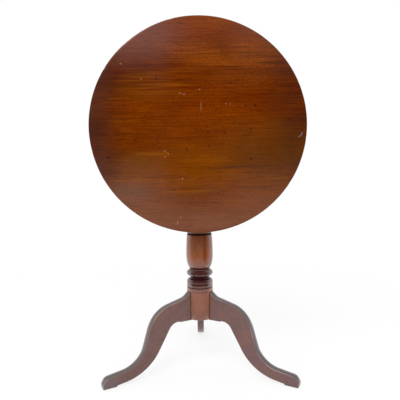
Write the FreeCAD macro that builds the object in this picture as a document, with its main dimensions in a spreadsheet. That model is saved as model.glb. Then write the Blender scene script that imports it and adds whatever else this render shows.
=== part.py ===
import FreeCAD, Part
import math
import os
import Sketcher

# Driving dimensions, in millimetres
SIZES = {
    # Round top, a little narrower across the grain, where old wood shrinks
    "top_along_grain": 610.0,
    "top_across_grain": 603.0,
    "top_thickness": 20.0,
    "top_face_rounding": 3.0,
    "top_back_rounding": 5.0,
    # Square block on the column, which the top tilts on
    "block_width": 150.0,
    "block_depth": 150.0,
    "block_thickness": 44.0,
    "block_chamfer": 8.0,
    "pivot_inset": 16.0,
    "seat_gap": 0.3,
    # Pins that stand out of the block's sides
    "pin_radius": 7.0,
    "pin_depth": 32.0,
    "pin_clearance": 0.05,
    # Bearers under the top, one on each side of the block
    "bearer_length": 500.0,
    "bearer_width": 26.0,
    "bearer_height": 34.0,
    "bearer_end_height": 12.0,
    "bearer_taper": 90.0,
    "bearer_gap": 0.5,
    "bearer_chamfer": 3.0,
    "bearer_screw_spacing": 130.0,
    "bearer_screw_bite": 12.0,
    # Turned column, from its underside up
    "drum_underside": 145.5,
    "drum_radius": 39.6,
    "drum_height": 94.0,
    "groove_height": 2.5,
    "groove_depth": 2.2,
    "low_bead_height": 5.0,
    "low_bead_radius": 40.3,
    "low_bead_projection": 2.2,
    "ring_height": 18.5,
    "ring_radius": 39.6,
    "ring_shoulder": 7.0,
    "neck_edge_radius": 32.0,
    "low_neck_height": 9.2,
    "low_neck_radius": 28.3,
    "high_bead_height": 18.5,
    "high_bead_radius": 40.4,
    "high_neck_height": 6.3,
    "high_neck_radius": 30.4,
    "vase_foot_height": 13.5,
    "vase_foot_radius": 37.9,
    "vase_foot_bulge": 0.76,
    "vase_belly_height": 27.0,
    "vase_belly_radius": 40.9,
    "vase_lip_height": 58.0,
    "vase_lip_radius": 38.5,
    "lip_groove_height": 4.0,
    "lip_bead_height": 3.5,
    "lip_bead_radius": 38.4,
    "lip_bead_projection": 1.6,
    "collar_groove_height": 2.0,
    "collar_height": 10.0,
    "collar_radius": 38.5,
    "collar_cove": 9.5,
    "shaft_foot_radius": 27.0,
    "shaft_fillet_height": 3.0,
    "shaft_fillet_projection": 1.5,
    "shaft_length": 174.0,
    "shaft_top_radius": 22.0,
    "shaft_swell": 1.5,
    "astragal_height": 8.0,
    "astragal_radius": 26.5,
    "cap_neck_height": 4.0,
    "cap_cove": 10.0,
    "cap_height": 4.5,
    "cap_projection": 2.0,
    # Tenon through the block, and the wedge that spreads it
    "tenon_radius": 19.0,
    "wedge_depth": 30.0,
    "wedge_top": 5.0,
    "wedge_tip": 1.5,
    # Curved legs: reaches from the column's axis, rises from the drum's underside, heights from the floor
    "leg_thickness": 22.0,
    "leg_arris": 1.5,
    "root_top_rise": 85.5,
    "root_length": 18.0,
    "root_rise": 69.1,
    "root_rounding": 30.0,
    "knee_reach": 158.2,
    "knee_rise": 42.2,
    "knee_rounding": 90.0,
    "knee_depth": 58.7,
    "hock_rounding": 32.0,
    "shin_spread": 43.2,
    "ankle_height": 43.8,
    "ankle_rounding": 76.0,
    "ankle_depth": 25.4,
    "instep_height": 15.0,
    "instep_rounding": 138.0,
    "foot_length": 110.6,
    "toe_height": 28.4,
    "toe_rounding": 20.0,
    "toe_undercut": 3.5,
    "pad_length": 38.5,
    "pad_thickness": 3.2,
    # Sliding dovetail of each leg
    "dovetail_depth": 14.0,
    "dovetail_neck": 10.0,
    "dovetail_tail": 15.0,
    "dovetail_height": 70.0,
    "joint_gap": 0.1,
    # Iron brace under the drum and the legs
    "brace_thickness": 2.5,
    "brace_hub_radius": 24.0,
    "brace_arm_width": 16.0,
    "brace_arm_reach": 76.0,
    "brace_outer_screw_reach": 62.0,
    "brace_inner_screw_reach": 13.0,
    "brace_screw_bite": 22.0,
    # Brass keep on the block's rear face
    "keep_width": 32.0,
    "keep_height": 22.0,
    "keep_thickness": 2.0,
    "lip_drop": 3.2,
    "lip_thickness": 2.5,
    "lip_projection": 5.0,
    "lip_bevel": 1.5,
    "keep_screw_spacing": 22.0,
    "keep_screw_drop": 12.0,
    "keep_screw_bite": 20.0,
    # Spring catch under the top
    "bolt_width": 12.0,
    "bolt_height": 8.0,
    "bolt_length": 33.6,
    "bolt_bevel": 7.0,
    "bolt_travel": 7.0,
    "bolt_clearance": 0.1,
    "catch_clearance": 0.3,
    "nose_clearance": 0.4,
    "case_setback": 4.0,
    "case_length": 50.0,
    "case_wall": 3.4,
    "case_rounding": 2.0,
    "case_plate_width": 40.0,
    "case_plate_thickness": 2.0,
    "case_screw_inset": 7.0,
    "case_screw_margin": 5.25,
    "case_screw_bite": 12.0,
    "knob_setback": 26.6,
    "knob_stem_radius": 2.5,
    "knob_neck_length": 6.0,
    "knob_radius": 7.0,
    "knob_height": 9.0,
    "spring_width": 8.0,
    "spring_thickness": 1.2,
    "spring_margin": 1.0,
    # Countersunk wood screws: a heavy iron gauge and a light brass gauge
    "screw_radius": 2.2,
    "screw_head_radius": 4.5,
    "screw_head_height": 2.3,
    "small_screw_radius": 1.5,
    "small_screw_head_radius": 3.2,
    "small_screw_head_height": 1.7,
    "driver_slot_width": 0.9,
    "driver_slot_depth": 1.0,
    "driver_slot_overrun": 1.0,
    "screw_clearance": 0.05,
}

doc = FreeCAD.newDocument("tripod_table")
sheet = doc.addObject("Spreadsheet::Sheet", "Sizes")


class Size:
    """A length that carries its number and the sheet expression behind it."""

    def __init__(self, value, text):
        self.value = float(value)
        self.text = text

    def __add__(self, other):
        other = as_size(other)
        return Size(self.value + other.value, f"({self.text} + {other.text})")

    def __sub__(self, other):
        other = as_size(other)
        return Size(self.value - other.value, f"({self.text} - {other.text})")

    def __mul__(self, factor):
        return Size(self.value * factor, f"({self.text} * {factor:.9f})")

    def __neg__(self):
        return self * -1


def as_size(length):
    """A plain number as a Size, and a Size as it is."""
    return length if isinstance(length, Size) else Size(length, f"{length:.9f}")


def chord_distance(radius, width):
    """How far from a circle's centre a chord of this width lies."""
    value = math.sqrt(radius.value ** 2 - (width.value / 2) ** 2)
    return Size(value, f"sqrt({radius.text} * {radius.text} - {width.text} * {width.text} / 4)")


def fill_sheet():
    """Write every driving dimension to its own aliased cell, and give back the sizes by name."""
    sizes = {}
    for row, (alias, value) in enumerate(SIZES.items(), start=1):
        sheet.set(f"A{row}", alias.replace("_", " "))
        sheet.set(f"B{row}", str(value))
        sheet.setAlias(f"B{row}", alias)
        sizes[alias] = Size(value, f"Sizes.{alias}")
    doc.recompute()
    return sizes


S = fill_sheet()
ZERO = as_size(0.0)
UPRIGHT = FreeCAD.Rotation()
SAME_PLACE = 1e-4
LEGS = {"leg_left": 210, "leg_right": 330, "leg_rear": 90}
TO_REAR_LEG = FreeCAD.Placement(FreeCAD.Vector(), FreeCAD.Rotation(FreeCAD.Vector(0, 0, 1), LEGS["leg_rear"]))
SUBPARTS = []


def bind(obj, **lengths):
    """Tie properties of an object to the sheet."""
    for name, length in lengths.items():
        setattr(obj, name, length.value)
        obj.setExpression(name, length.text)
    return obj


def place(obj, x=ZERO, y=ZERO, z=ZERO, rotation=UPRIGHT):
    """Put an object at a point that is tied to the sheet."""
    obj.Placement = FreeCAD.Placement(FreeCAD.Vector(x.value, y.value, z.value), rotation)
    for axis, length in zip("xyz", (x, y, z)):
        if length is not ZERO:
            obj.setExpression(f".Placement.Base.{axis}", length.text)
    return obj


def subpart(obj, label):
    """Name an object as one piece of the table."""
    obj.Label = label
    SUBPARTS.append(obj)
    return obj


def new_body(name):
    return doc.addObject("PartDesign::Body", name + "_body")


def origin_feature(body, role):
    return [feature for feature in body.Origin.OriginFeatures if feature.Role == role][0]


def sketch_on(body, role, lift=ZERO, slide=ZERO):
    """A sketch on an origin plane, lifted along its normal and slid along its first direction."""
    sketch = body.newObject("Sketcher::SketchObject", "sketch")
    sketch.AttachmentSupport = [(origin_feature(body, role), "")]
    sketch.MapMode = "FlatFace"
    sketch.AttachmentOffset = FreeCAD.Placement(FreeCAD.Vector(slide.value, 0, lift.value), UPRIGHT)
    for axis, length in (("x", slide), ("z", lift)):
        if length is not ZERO:
            sketch.setExpression(f".AttachmentOffset.Base.{axis}", length.text)
    return sketch


def pin_point(sketch, geometry, end, x, y):
    """Hold one point of a sketch at distances from its origin that are tied to the sheet."""
    for kind, length, axis in (("DistanceX", x, -2), ("DistanceY", y, -1)):
        if length is ZERO:
            sketch.addConstraint(Sketcher.Constraint("PointOnObject", geometry, end, axis))
        else:
            index = sketch.addConstraint(Sketcher.Constraint(kind, geometry, end, length.value))
            sketch.setExpression(f"Constraints[{index}]", length.text)


def vector(point):
    return FreeCAD.Vector(point[0].value, point[1].value, 0)


def draw_outline(sketch, corners):
    """Close an outline through corners (x, y); a third entry of a corner is a point on the arc it starts."""
    ends = []
    for index, corner in enumerate(corners):
        start = vector(corner)
        finish = vector(corners[(index + 1) % len(corners)])
        if len(corner) == 2:
            ends.append((sketch.addGeometry(Part.LineSegment(start, finish), False), 1, 2))
            continue
        middle = vector(corner[2])
        anticlockwise = (middle - start).cross(finish - start).z > 0
        arc = Part.Arc(start, middle, finish) if anticlockwise else Part.Arc(finish, middle, start)
        geometry = sketch.addGeometry(arc, False)
        ends.append((geometry, 1, 2) if anticlockwise else (geometry, 2, 1))
        guide = sketch.addGeometry(Part.Point(middle), True)
        pin_point(sketch, guide, 1, *corner[2])
        sketch.addConstraint(Sketcher.Constraint("PointOnObject", guide, 1, geometry))
    for index, corner in enumerate(corners):
        geometry, first, last = ends[index]
        after, after_first, after_last = ends[(index + 1) % len(corners)]
        sketch.addConstraint(Sketcher.Constraint("Coincident", geometry, last, after, after_first))
        pin_point(sketch, geometry, first, corner[0], corner[1])
    return sketch


def draw_circle(sketch, x, y, radius):
    circle = Part.Circle(FreeCAD.Vector(x.value, y.value, 0), FreeCAD.Vector(0, 0, 1), radius.value)
    geometry = sketch.addGeometry(circle, False)
    pin_point(sketch, geometry, 3, x, y)
    index = sketch.addConstraint(Sketcher.Constraint("Radius", geometry, radius.value))
    sketch.setExpression(f"Constraints[{index}]", radius.text)
    return sketch


def rectangle(low_x, high_x, low_y, high_y):
    return [(low_x, low_y), (high_x, low_y), (high_x, high_y), (low_x, high_y)]


def pad(body, sketch, length, symmetric=False):
    feature = body.newObject("PartDesign::Pad", "pad")
    feature.Profile = sketch
    feature.SideType = "Symmetric" if symmetric else "One side"
    bind(feature, Length=length)
    doc.recompute()
    return feature


def pocket(body, sketch, length, symmetric=False):
    """Cut a sketch out of a body, along the sketch's normal or to both sides of it."""
    before = body.Shape.Volume
    feature = body.newObject("PartDesign::Pocket", "pocket")
    feature.Profile = sketch
    feature.SideType = "Symmetric" if symmetric else "One side"
    feature.Reversed = not symmetric
    bind(feature, Length=length)
    doc.recompute()
    if not body.Shape.Volume < before:
        raise RuntimeError(f"a pocket in {body.Label} cuts nothing")
    return feature


def revolve(body, sketch):
    feature = body.newObject("PartDesign::Revolution", "revolution")
    feature.Profile = sketch
    feature.ReferenceAxis = (sketch, ["V_Axis"])
    feature.Angle = 360
    doc.recompute()
    return feature


def edges_where(feature, test):
    """Names of a feature's edges whose middle passes the test."""
    names = []
    for number, edge in enumerate(feature.Shape.Edges, start=1):
        if test(edge.valueAt((edge.FirstParameter + edge.LastParameter) / 2)):
            names.append(f"Edge{number}")
    if not names:
        raise RuntimeError(f"no edge of {feature.Label} to work on")
    return names


def round_edges(body, test, radius):
    base = body.Tip
    feature = body.newObject("PartDesign::Fillet", "fillet")
    feature.Base = (base, edges_where(base, test))
    bind(feature, Radius=radius)
    doc.recompute()
    return feature


def chamfer_edges(body, test, size):
    base = body.Tip
    feature = body.newObject("PartDesign::Chamfer", "chamfer")
    feature.Base = (base, edges_where(base, test))
    bind(feature, Size=size)
    doc.recompute()
    return feature


def close(first, second):
    return abs(first - second) < SAME_PLACE


def cylinder(radius, height):
    return bind(doc.addObject("Part::Cylinder", "cylinder"), Radius=radius, Height=height)


def combine(kind, base, tool):
    feature = doc.addObject(kind, kind.split("::")[1].lower())
    feature.Base = base
    feature.Tool = tool
    doc.recompute()
    return feature


def group(pieces):
    feature = doc.addObject("Part::Compound", "group")
    feature.Links = pieces
    doc.recompute()
    return feature


def shifted(point, rotation, along_x=ZERO, along_y=ZERO, along_z=ZERO):
    """A point moved along the turned directions of a square rotation."""
    moved = list(point)
    for direction, length in zip(((1, 0, 0), (0, 1, 0), (0, 0, 1)), (along_x, along_y, along_z)):
        turned = rotation.multVec(FreeCAD.Vector(*direction))
        for axis, share in enumerate(turned):
            if round(share) and length is not ZERO:
                moved[axis] = as_size(moved[axis]) + length * round(share)
    return moved


def screw_solid(point, rotation, radius, head_radius, head_height, length):
    """A cone and a shank, from the face of the head into the wood."""
    head = doc.addObject("Part::Cone", "head")
    bind(head, Radius1=head_radius, Radius2=radius, Height=head_height)
    place(head, *point, rotation)
    shank = cylinder(radius, length - head_height)
    place(shank, *shifted(point, rotation, along_z=head_height), rotation)
    return combine("Part::Fuse", head, shank)


def drive_screws(label, gauge, length, points, rotation=UPRIGHT, in_top=False):
    """Countersunk screws at points, as one piece of the table; gives back the holes that they need."""
    radius = S[gauge + "_radius"]
    head_radius = S[gauge + "_head_radius"]
    head_height = S[gauge + "_head_height"]
    clearance = S["screw_clearance"]
    slot_length = head_radius * 2 + S["driver_slot_overrun"]
    screws = []
    holes = []
    for point in points:
        solid = screw_solid(point, rotation, radius, head_radius, head_height, length)
        slot = doc.addObject("Part::Box", "slot")
        bind(slot, Length=slot_length, Width=S["driver_slot_width"], Height=S["driver_slot_depth"])
        half_slot = slot_length * -0.5
        half_width = S["driver_slot_width"] * -0.5
        place(slot, *shifted(point, rotation, along_x=half_slot, along_y=half_width), rotation)
        screws.append(combine("Part::Cut", solid, slot))
        holes.append(screw_solid(point, rotation, radius + clearance, head_radius + clearance,
                                 head_height, length + clearance))
    driven = subpart(group(screws), label)
    if in_top:
        place(driven, y=pivot_y, z=pivot_z, rotation=TILTED)
    return group(holes)


# Places that several pieces share
half_thickness = S["leg_thickness"] * 0.5
leg_shoulder = chord_distance(S["drum_radius"], S["leg_thickness"])
column_rises = ("drum_height", "groove_height", "low_bead_height", "ring_height", "low_neck_height",
                "high_bead_height", "high_neck_height", "vase_foot_height", "vase_belly_height",
                "vase_lip_height", "lip_groove_height", "lip_bead_height", "collar_groove_height",
                "collar_height", "collar_cove", "shaft_fillet_height", "shaft_length",
                "astragal_height", "cap_neck_height", "cap_cove", "cap_height")
levels = {}
level = S["drum_underside"]
for rise in column_rises:
    level = level + S[rise]
    levels[rise] = level
block_underside = levels["cap_height"]
block_top = block_underside + S["block_thickness"]
half_depth = S["block_depth"] * 0.5
half_width = S["block_width"] * 0.5
pivot_y = S["pivot_inset"] - half_depth
pivot_z = block_top - S["pivot_inset"]

# Places on the top, measured from the pivot with the top level: y to the rear, z up
top_underside = S["pivot_inset"] + S["seat_gap"]
top_centre = half_depth - S["pivot_inset"]
block_rear = half_depth + top_centre
lip_underside = S["pivot_inset"] - S["lip_drop"] - S["lip_thickness"]
bolt_top = lip_underside - S["catch_clearance"]
bolt_underside = bolt_top - S["bolt_height"]
bolt_nose = block_rear + S["keep_thickness"] + S["nose_clearance"]
bolt_rear = bolt_nose + S["bolt_length"]
case_front = block_rear + S["keep_thickness"] + S["lip_projection"] + S["case_setback"]
case_rear = case_front + S["case_length"]
spring_seat = case_rear - S["case_wall"]
knob_centre = bolt_nose + S["knob_setback"]
TILTED = FreeCAD.Rotation(FreeCAD.Vector(1, 0, 0), 90)


def tilt(obj, label):
    """Name a piece of the top and turn it upright about the pivot, as the table rests."""
    doc.recompute()
    return subpart(place(obj, y=pivot_y, z=pivot_z, rotation=TILTED), label)


def swell(low_radius, low, high, peak):
    """The corner that starts a bead or a cove, with its fullest or deepest point halfway up."""
    return (low_radius, low, (peak, (low + high) * 0.5))


def quarter(start, end, centre):
    """The corner that starts a quarter round about a centre."""
    half_way = math.sqrt(0.5)
    middle = [centre[i] + ((start[i] - centre[i]) + (end[i] - centre[i])) * half_way for i in (0, 1)]
    return (start[0], start[1], tuple(middle))


def bellied(start, end, belly, narrow):
    """The corner that starts an arc between the vase's belly, where it is upright, and a narrower end."""
    quarter_fall = (belly - narrow) * 0.25
    return (start[0], start[1], (belly - quarter_fall, (start[1] + end[1]) * 0.5))


def column_outline():
    """Half of the column's turned section, from the axis at its underside round to the axis at its top."""
    groove = S["drum_radius"] - S["groove_depth"]
    low_bead_edge = S["low_bead_radius"] - S["low_bead_projection"]
    ring_inner = S["ring_radius"] - S["ring_shoulder"]
    ring_top = levels["ring_height"]
    ring_side_top = ring_top - S["ring_shoulder"]
    edge = S["neck_edge_radius"]
    foot = (edge, levels["high_neck_height"])
    waist = (S["vase_foot_radius"], levels["vase_foot_height"])
    belly = (S["vase_belly_radius"], levels["vase_belly_height"])
    lip = (S["vase_lip_radius"], levels["vase_lip_height"])
    foot_middle = ((foot[0] + waist[0]) * 0.5 + S["vase_foot_bulge"], (foot[1] + waist[1]) * 0.5)
    lip_bead_edge = S["lip_bead_radius"] - S["lip_bead_projection"]
    cove_start = (S["shaft_foot_radius"] + S["collar_cove"], levels["collar_height"])
    cove_end = (S["shaft_foot_radius"], levels["collar_cove"])
    shaft_fillet = S["shaft_foot_radius"] + S["shaft_fillet_projection"]
    shaft_top = (S["shaft_top_radius"], levels["shaft_length"])
    shaft_middle = ((shaft_fillet + shaft_top[0]) * 0.5 + S["shaft_swell"],
                    (levels["shaft_fillet_height"] + shaft_top[1]) * 0.5)
    cap_start = (S["shaft_top_radius"], levels["cap_neck_height"])
    cap_end = (S["shaft_top_radius"] + S["cap_cove"], levels["cap_cove"])
    cap_radius = cap_end[0] + S["cap_projection"]
    return [
        (ZERO, S["drum_underside"]),
        (S["drum_radius"], S["drum_underside"]),
        (S["drum_radius"], levels["drum_height"]),
        (groove, levels["drum_height"]),
        (groove, levels["groove_height"]),
        swell(low_bead_edge, levels["groove_height"], levels["low_bead_height"], S["low_bead_radius"]),
        (low_bead_edge, levels["low_bead_height"]),
        (S["ring_radius"], levels["low_bead_height"]),
        quarter((S["ring_radius"], ring_side_top), (ring_inner, ring_top), (ring_inner, ring_side_top)),
        (ring_inner, ring_top),
        swell(edge, ring_top, levels["low_neck_height"], S["low_neck_radius"]),
        swell(edge, levels["low_neck_height"], levels["high_bead_height"], S["high_bead_radius"]),
        swell(edge, levels["high_bead_height"], levels["high_neck_height"], S["high_neck_radius"]),
        (foot[0], foot[1], foot_middle),
        bellied(waist, belly, belly[0], waist[0]),
        bellied(belly, lip, belly[0], lip[0]),
        lip,
        (lip_bead_edge, levels["vase_lip_height"]),
        swell(lip_bead_edge, levels["lip_groove_height"], levels["lip_bead_height"], S["lip_bead_radius"]),
        (lip_bead_edge, levels["lip_bead_height"]),
        (lip_bead_edge, levels["collar_groove_height"]),
        (S["collar_radius"], levels["collar_groove_height"]),
        (S["collar_radius"], levels["collar_height"]),
        quarter(cove_start, cove_end, (cove_start[0], cove_end[1])),
        cove_end,
        (shaft_fillet, levels["collar_cove"]),
        (shaft_fillet, levels["shaft_fillet_height"], shaft_middle),
        swell(shaft_top[0], levels["shaft_length"], levels["astragal_height"], S["astragal_radius"]),
        (S["shaft_top_radius"], levels["astragal_height"]),
        quarter(cap_start, cap_end, (cap_end[0], cap_start[1])),
        cap_end,
        (cap_radius, levels["cap_cove"]),
        (cap_radius, block_underside),
        (S["tenon_radius"], block_underside),
        (S["tenon_radius"], block_top),
        (ZERO, block_top),
    ]


def wedge_outline(gap):
    """The wedge's tapered section, or with a gap the kerf that it sits in."""
    tip = S["wedge_tip"] * 0.5 + gap
    head = S["wedge_top"] * 0.5 + gap
    low = block_top - S["wedge_depth"] - gap
    return [(-tip, low), (tip, low), (head, block_top), (-head, block_top)]


def dovetail_outline(gap):
    """Plan of a leg's dovetail along +X, or with a gap the socket that it slides into."""
    neck = S["dovetail_neck"] * 0.5 + gap
    tail = S["dovetail_tail"] * 0.5 + gap
    inner = leg_shoulder - S["dovetail_depth"] - gap
    return [(inner, -tail), (leg_shoulder, -neck), (leg_shoulder, neck), (inner, tail)]


def make_column():
    """Turned column: flats and dovetail sockets for the legs in its drum, a split tenon at its top."""
    body = new_body("column")
    revolve(body, draw_outline(sketch_on(body, "XZ_Plane"), column_outline()))
    kerf = draw_outline(sketch_on(body, "XZ_Plane"), wedge_outline(S["joint_gap"]))
    pocket(body, kerf, (S["tenon_radius"] + S["joint_gap"]) * 2, symmetric=True)
    overrun = S["leg_thickness"] * 0.2
    flat_edge = half_thickness + overrun
    flat = rectangle(leg_shoulder, S["drum_radius"] + overrun, -flat_edge, flat_edge)
    flat_cut = pocket(body, draw_outline(sketch_on(body, "XY_Plane", S["drum_underside"]), flat),
                      S["root_top_rise"])
    socket = draw_outline(sketch_on(body, "XY_Plane", S["drum_underside"]), dovetail_outline(S["joint_gap"]))
    socket_cut = pocket(body, socket, S["dovetail_height"] + S["joint_gap"])
    pilot = draw_circle(sketch_on(body, "XY_Plane", S["drum_underside"]), S["brace_inner_screw_reach"], ZERO,
                        S["screw_radius"] + S["screw_clearance"])
    pilot_cut = pocket(body, pilot, S["brace_screw_bite"] + S["screw_clearance"])
    pattern = body.newObject("PartDesign::PolarPattern", "three_ways")
    pattern.Originals = [flat_cut, socket_cut, pilot_cut]
    pattern.Axis = (origin_feature(body, "Z_Axis"), [""])
    pattern.Angle = 360
    pattern.Occurrences = len(LEGS)
    body.Tip = pattern
    doc.recompute()
    body.Placement = TO_REAR_LEG
    return subpart(body, "column")


def leg_corners():
    """Corners of a leg's outline before rounding, as reach from the axis and height."""
    ledge = S["drum_underside"]
    ankle_reach = S["knee_reach"] + S["shin_spread"]
    toe_reach = ankle_reach + S["foot_length"]
    sole_end = toe_reach - S["toe_undercut"]
    pad_start = sole_end - S["pad_length"]
    return {
        "shoulder": (leg_shoulder, ledge),
        "hock": (S["knee_reach"] - S["knee_depth"], ledge),
        "instep": (ankle_reach - S["ankle_depth"], S["instep_height"]),
        "pad_top": (pad_start, S["pad_thickness"]),
        "pad_foot": (pad_start, ZERO),
        "sole": (sole_end, ZERO),
        "toe": (toe_reach, S["toe_height"]),
        "ankle": (ankle_reach, S["ankle_height"]),
        "knee": (S["knee_reach"], ledge + S["knee_rise"]),
        "root": (leg_shoulder + S["root_length"], ledge + S["root_rise"]),
        "root_top": (leg_shoulder, ledge + S["root_top_rise"]),
    }


def make_leg(label, azimuth):
    """Curved leg sawn from a board: outline, rounded corners, softened arrises and a dovetail."""
    body = new_body(label)
    corners = leg_corners()
    outline = draw_outline(sketch_on(body, "XZ_Plane"), list(corners.values()))
    pad(body, outline, S["leg_thickness"], symmetric=True)
    for name in ("knee", "ankle", "instep", "hock", "root", "toe"):
        reach, height = (length.value for length in corners[name])
        round_edges(body, lambda p: close(p.x, reach) and close(p.z, height), S[name + "_rounding"])
    shoulder = leg_shoulder.value
    side = half_thickness.value
    pad_top = S["pad_thickness"].value
    round_edges(body, lambda p: close(abs(p.y), side) and not close(p.x, shoulder) and p.z > pad_top,
                S["leg_arris"])
    tongue = draw_outline(sketch_on(body, "XY_Plane", S["drum_underside"]), dovetail_outline(ZERO))
    pad(body, tongue, S["dovetail_height"])
    pilot = draw_circle(sketch_on(body, "XY_Plane", S["drum_underside"]), S["brace_outer_screw_reach"], ZERO,
                        S["screw_radius"] + S["screw_clearance"])
    pocket(body, pilot, S["brace_screw_bite"] + S["screw_clearance"])
    body.Placement = FreeCAD.Placement(FreeCAD.Vector(), FreeCAD.Rotation(FreeCAD.Vector(0, 0, 1), azimuth))
    return subpart(body, label)


def make_brace():
    """Three-armed iron plate under the drum and the legs, and its screws."""
    plate_underside = S["drum_underside"] - S["brace_thickness"]
    body = new_body("spider_plate")
    hub = draw_circle(sketch_on(body, "XY_Plane", plate_underside), ZERO, ZERO, S["brace_hub_radius"])
    pad(body, hub, S["brace_thickness"])
    half_arm = S["brace_arm_width"] * 0.5
    arm_end = S["brace_arm_reach"] - half_arm
    arm_outline = [(ZERO, -half_arm), (arm_end, -half_arm, (S["brace_arm_reach"], ZERO)),
                   (arm_end, half_arm), (ZERO, half_arm)]
    arm = pad(body, draw_outline(sketch_on(body, "XY_Plane", plate_underside), arm_outline),
              S["brace_thickness"])
    pattern = body.newObject("PartDesign::PolarPattern", "three_ways")
    pattern.Originals = [arm]
    pattern.Axis = (origin_feature(body, "Z_Axis"), [""])
    pattern.Angle = 360
    pattern.Occurrences = len(LEGS)
    body.Tip = pattern
    body.Placement = TO_REAR_LEG
    doc.recompute()
    points = []
    for azimuth in LEGS.values():
        for reach in (S["brace_inner_screw_reach"], S["brace_outer_screw_reach"]):
            angle = math.radians(azimuth)
            points.append((reach * math.cos(angle), reach * math.sin(angle), plate_underside))
    length = S["brace_thickness"] + S["brace_screw_bite"]
    holes = drive_screws("spider_screws", "screw", length, points)
    subpart(combine("Part::Cut", body, holes), "spider_plate")


def make_pins():
    """Pins that stand out of the block's sides, and the holes in the block that hold them."""
    length = S["pin_depth"] + S["bearer_gap"] + S["bearer_width"]
    holes = []
    for label, way in (("pivot_pin_left", -1), ("pivot_pin_right", 1)):
        turn = FreeCAD.Rotation(FreeCAD.Vector(0, 1, 0), 90 * way)
        inner = (half_width - S["pin_depth"]) * way
        subpart(place(cylinder(S["pin_radius"], length), inner, pivot_y, pivot_z, turn), label)
        hole = cylinder(S["pin_radius"] + S["pin_clearance"], length)
        holes.append(place(hole, inner - S["joint_gap"] * way, pivot_y, pivot_z, turn))
    return group(holes)


def make_block(holes):
    """Square block, rounded about the pivot where the top rolls over its front edge."""
    body = new_body("block")
    arc_start = (pivot_y, block_top)
    arc_end = (-half_depth, pivot_z)
    outline = [(-half_depth, block_underside), (half_depth, block_underside), (half_depth, block_top),
               quarter(arc_start, arc_end, (pivot_y, pivot_z)), arc_end]
    pad(body, draw_outline(sketch_on(body, "YZ_Plane"), outline), S["block_width"], symmetric=True)
    chamfer_edges(body, lambda p: close(p.z, block_underside.value), S["block_chamfer"])
    bore = draw_circle(sketch_on(body, "XY_Plane", block_underside), ZERO, ZERO,
                       S["tenon_radius"] + S["pin_clearance"])
    pocket(body, bore, S["block_thickness"])
    subpart(combine("Part::Cut", body, group(holes)), "block")


def make_wedge():
    """Wedge in the tenon's kerf, trimmed round with the tenon."""
    body = new_body("tenon_wedge")
    outline = draw_outline(sketch_on(body, "XZ_Plane"), wedge_outline(ZERO))
    pad(body, outline, S["tenon_radius"] * 2, symmetric=True)
    tenon = place(cylinder(S["tenon_radius"], S["block_thickness"]), z=block_underside)
    wedge = combine("Part::Common", body, tenon)
    wedge.Placement = TO_REAR_LEG
    subpart(wedge, "tenon_wedge")


def make_keep():
    """Brass keep: a plate on the block's rear face with a lip that the bolt slips under, and its screws."""
    body = new_body("strike_plate")
    outer = half_depth + S["keep_thickness"]
    lip_end = outer + S["lip_projection"]
    lip_top = block_top - S["lip_drop"]
    lip_low = lip_top - S["lip_thickness"]
    foot = lip_top - S["keep_height"]
    outline = [(half_depth, foot), (outer, foot), (outer, lip_low), (lip_end, lip_low),
               (lip_end, lip_top), (half_depth, lip_top)]
    pad(body, draw_outline(sketch_on(body, "YZ_Plane"), outline), S["keep_width"], symmetric=True)
    chamfer_edges(body, lambda p: close(p.y, lip_end.value) and close(p.z, lip_top.value), S["lip_bevel"])
    into_block = FreeCAD.Rotation(FreeCAD.Vector(1, 0, 0), 90)
    spacing = S["keep_screw_spacing"] * 0.5
    points = [(spacing * way, outer, lip_top - S["keep_screw_drop"]) for way in (-1, 1)]
    length = S["keep_thickness"] + S["keep_screw_bite"]
    holes = drive_screws("strike_screws", "small_screw", length, points, into_block)
    subpart(combine("Part::Cut", body, holes), "strike_plate")
    return holes


def make_top(holes):
    """Round top, level in its own frame, with a softened face edge and a rounder back edge."""
    body = new_body("top_board")
    sketch = sketch_on(body, "XY_Plane", top_underside)
    centre = FreeCAD.Vector(0, top_centre.value, 0)
    widths = [(S["top_along_grain"], FreeCAD.Vector(1, 0, 0), "Horizontal"),
              (S["top_across_grain"], FreeCAD.Vector(0, 1, 0), "Vertical")]
    widths.sort(key=lambda width: width[0].value, reverse=True)
    oval_ends = [centre + way * (width.value / 2) for width, way, lie in widths]
    geometry = sketch.addGeometry(Part.Ellipse(*oval_ends, centre), False)
    pin_point(sketch, geometry, 3, ZERO, top_centre)
    sketch.exposeInternalGeometry(geometry)
    for axis, (width, way, lie) in enumerate(widths, start=geometry + 1):
        index = sketch.addConstraint(Sketcher.Constraint("Distance", axis, width.value))
        sketch.setExpression(f"Constraints[{index}]", width.text)
    sketch.addConstraint(Sketcher.Constraint(widths[0][2], geometry + 1))
    pad(body, sketch, S["top_thickness"])
    face = (top_underside + S["top_thickness"]).value
    round_edges(body, lambda p: close(p.z, face), S["top_face_rounding"])
    round_edges(body, lambda p: close(p.z, top_underside.value), S["top_back_rounding"])
    tilt(combine("Part::Cut", body, group(holes)), "top_board")


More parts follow.
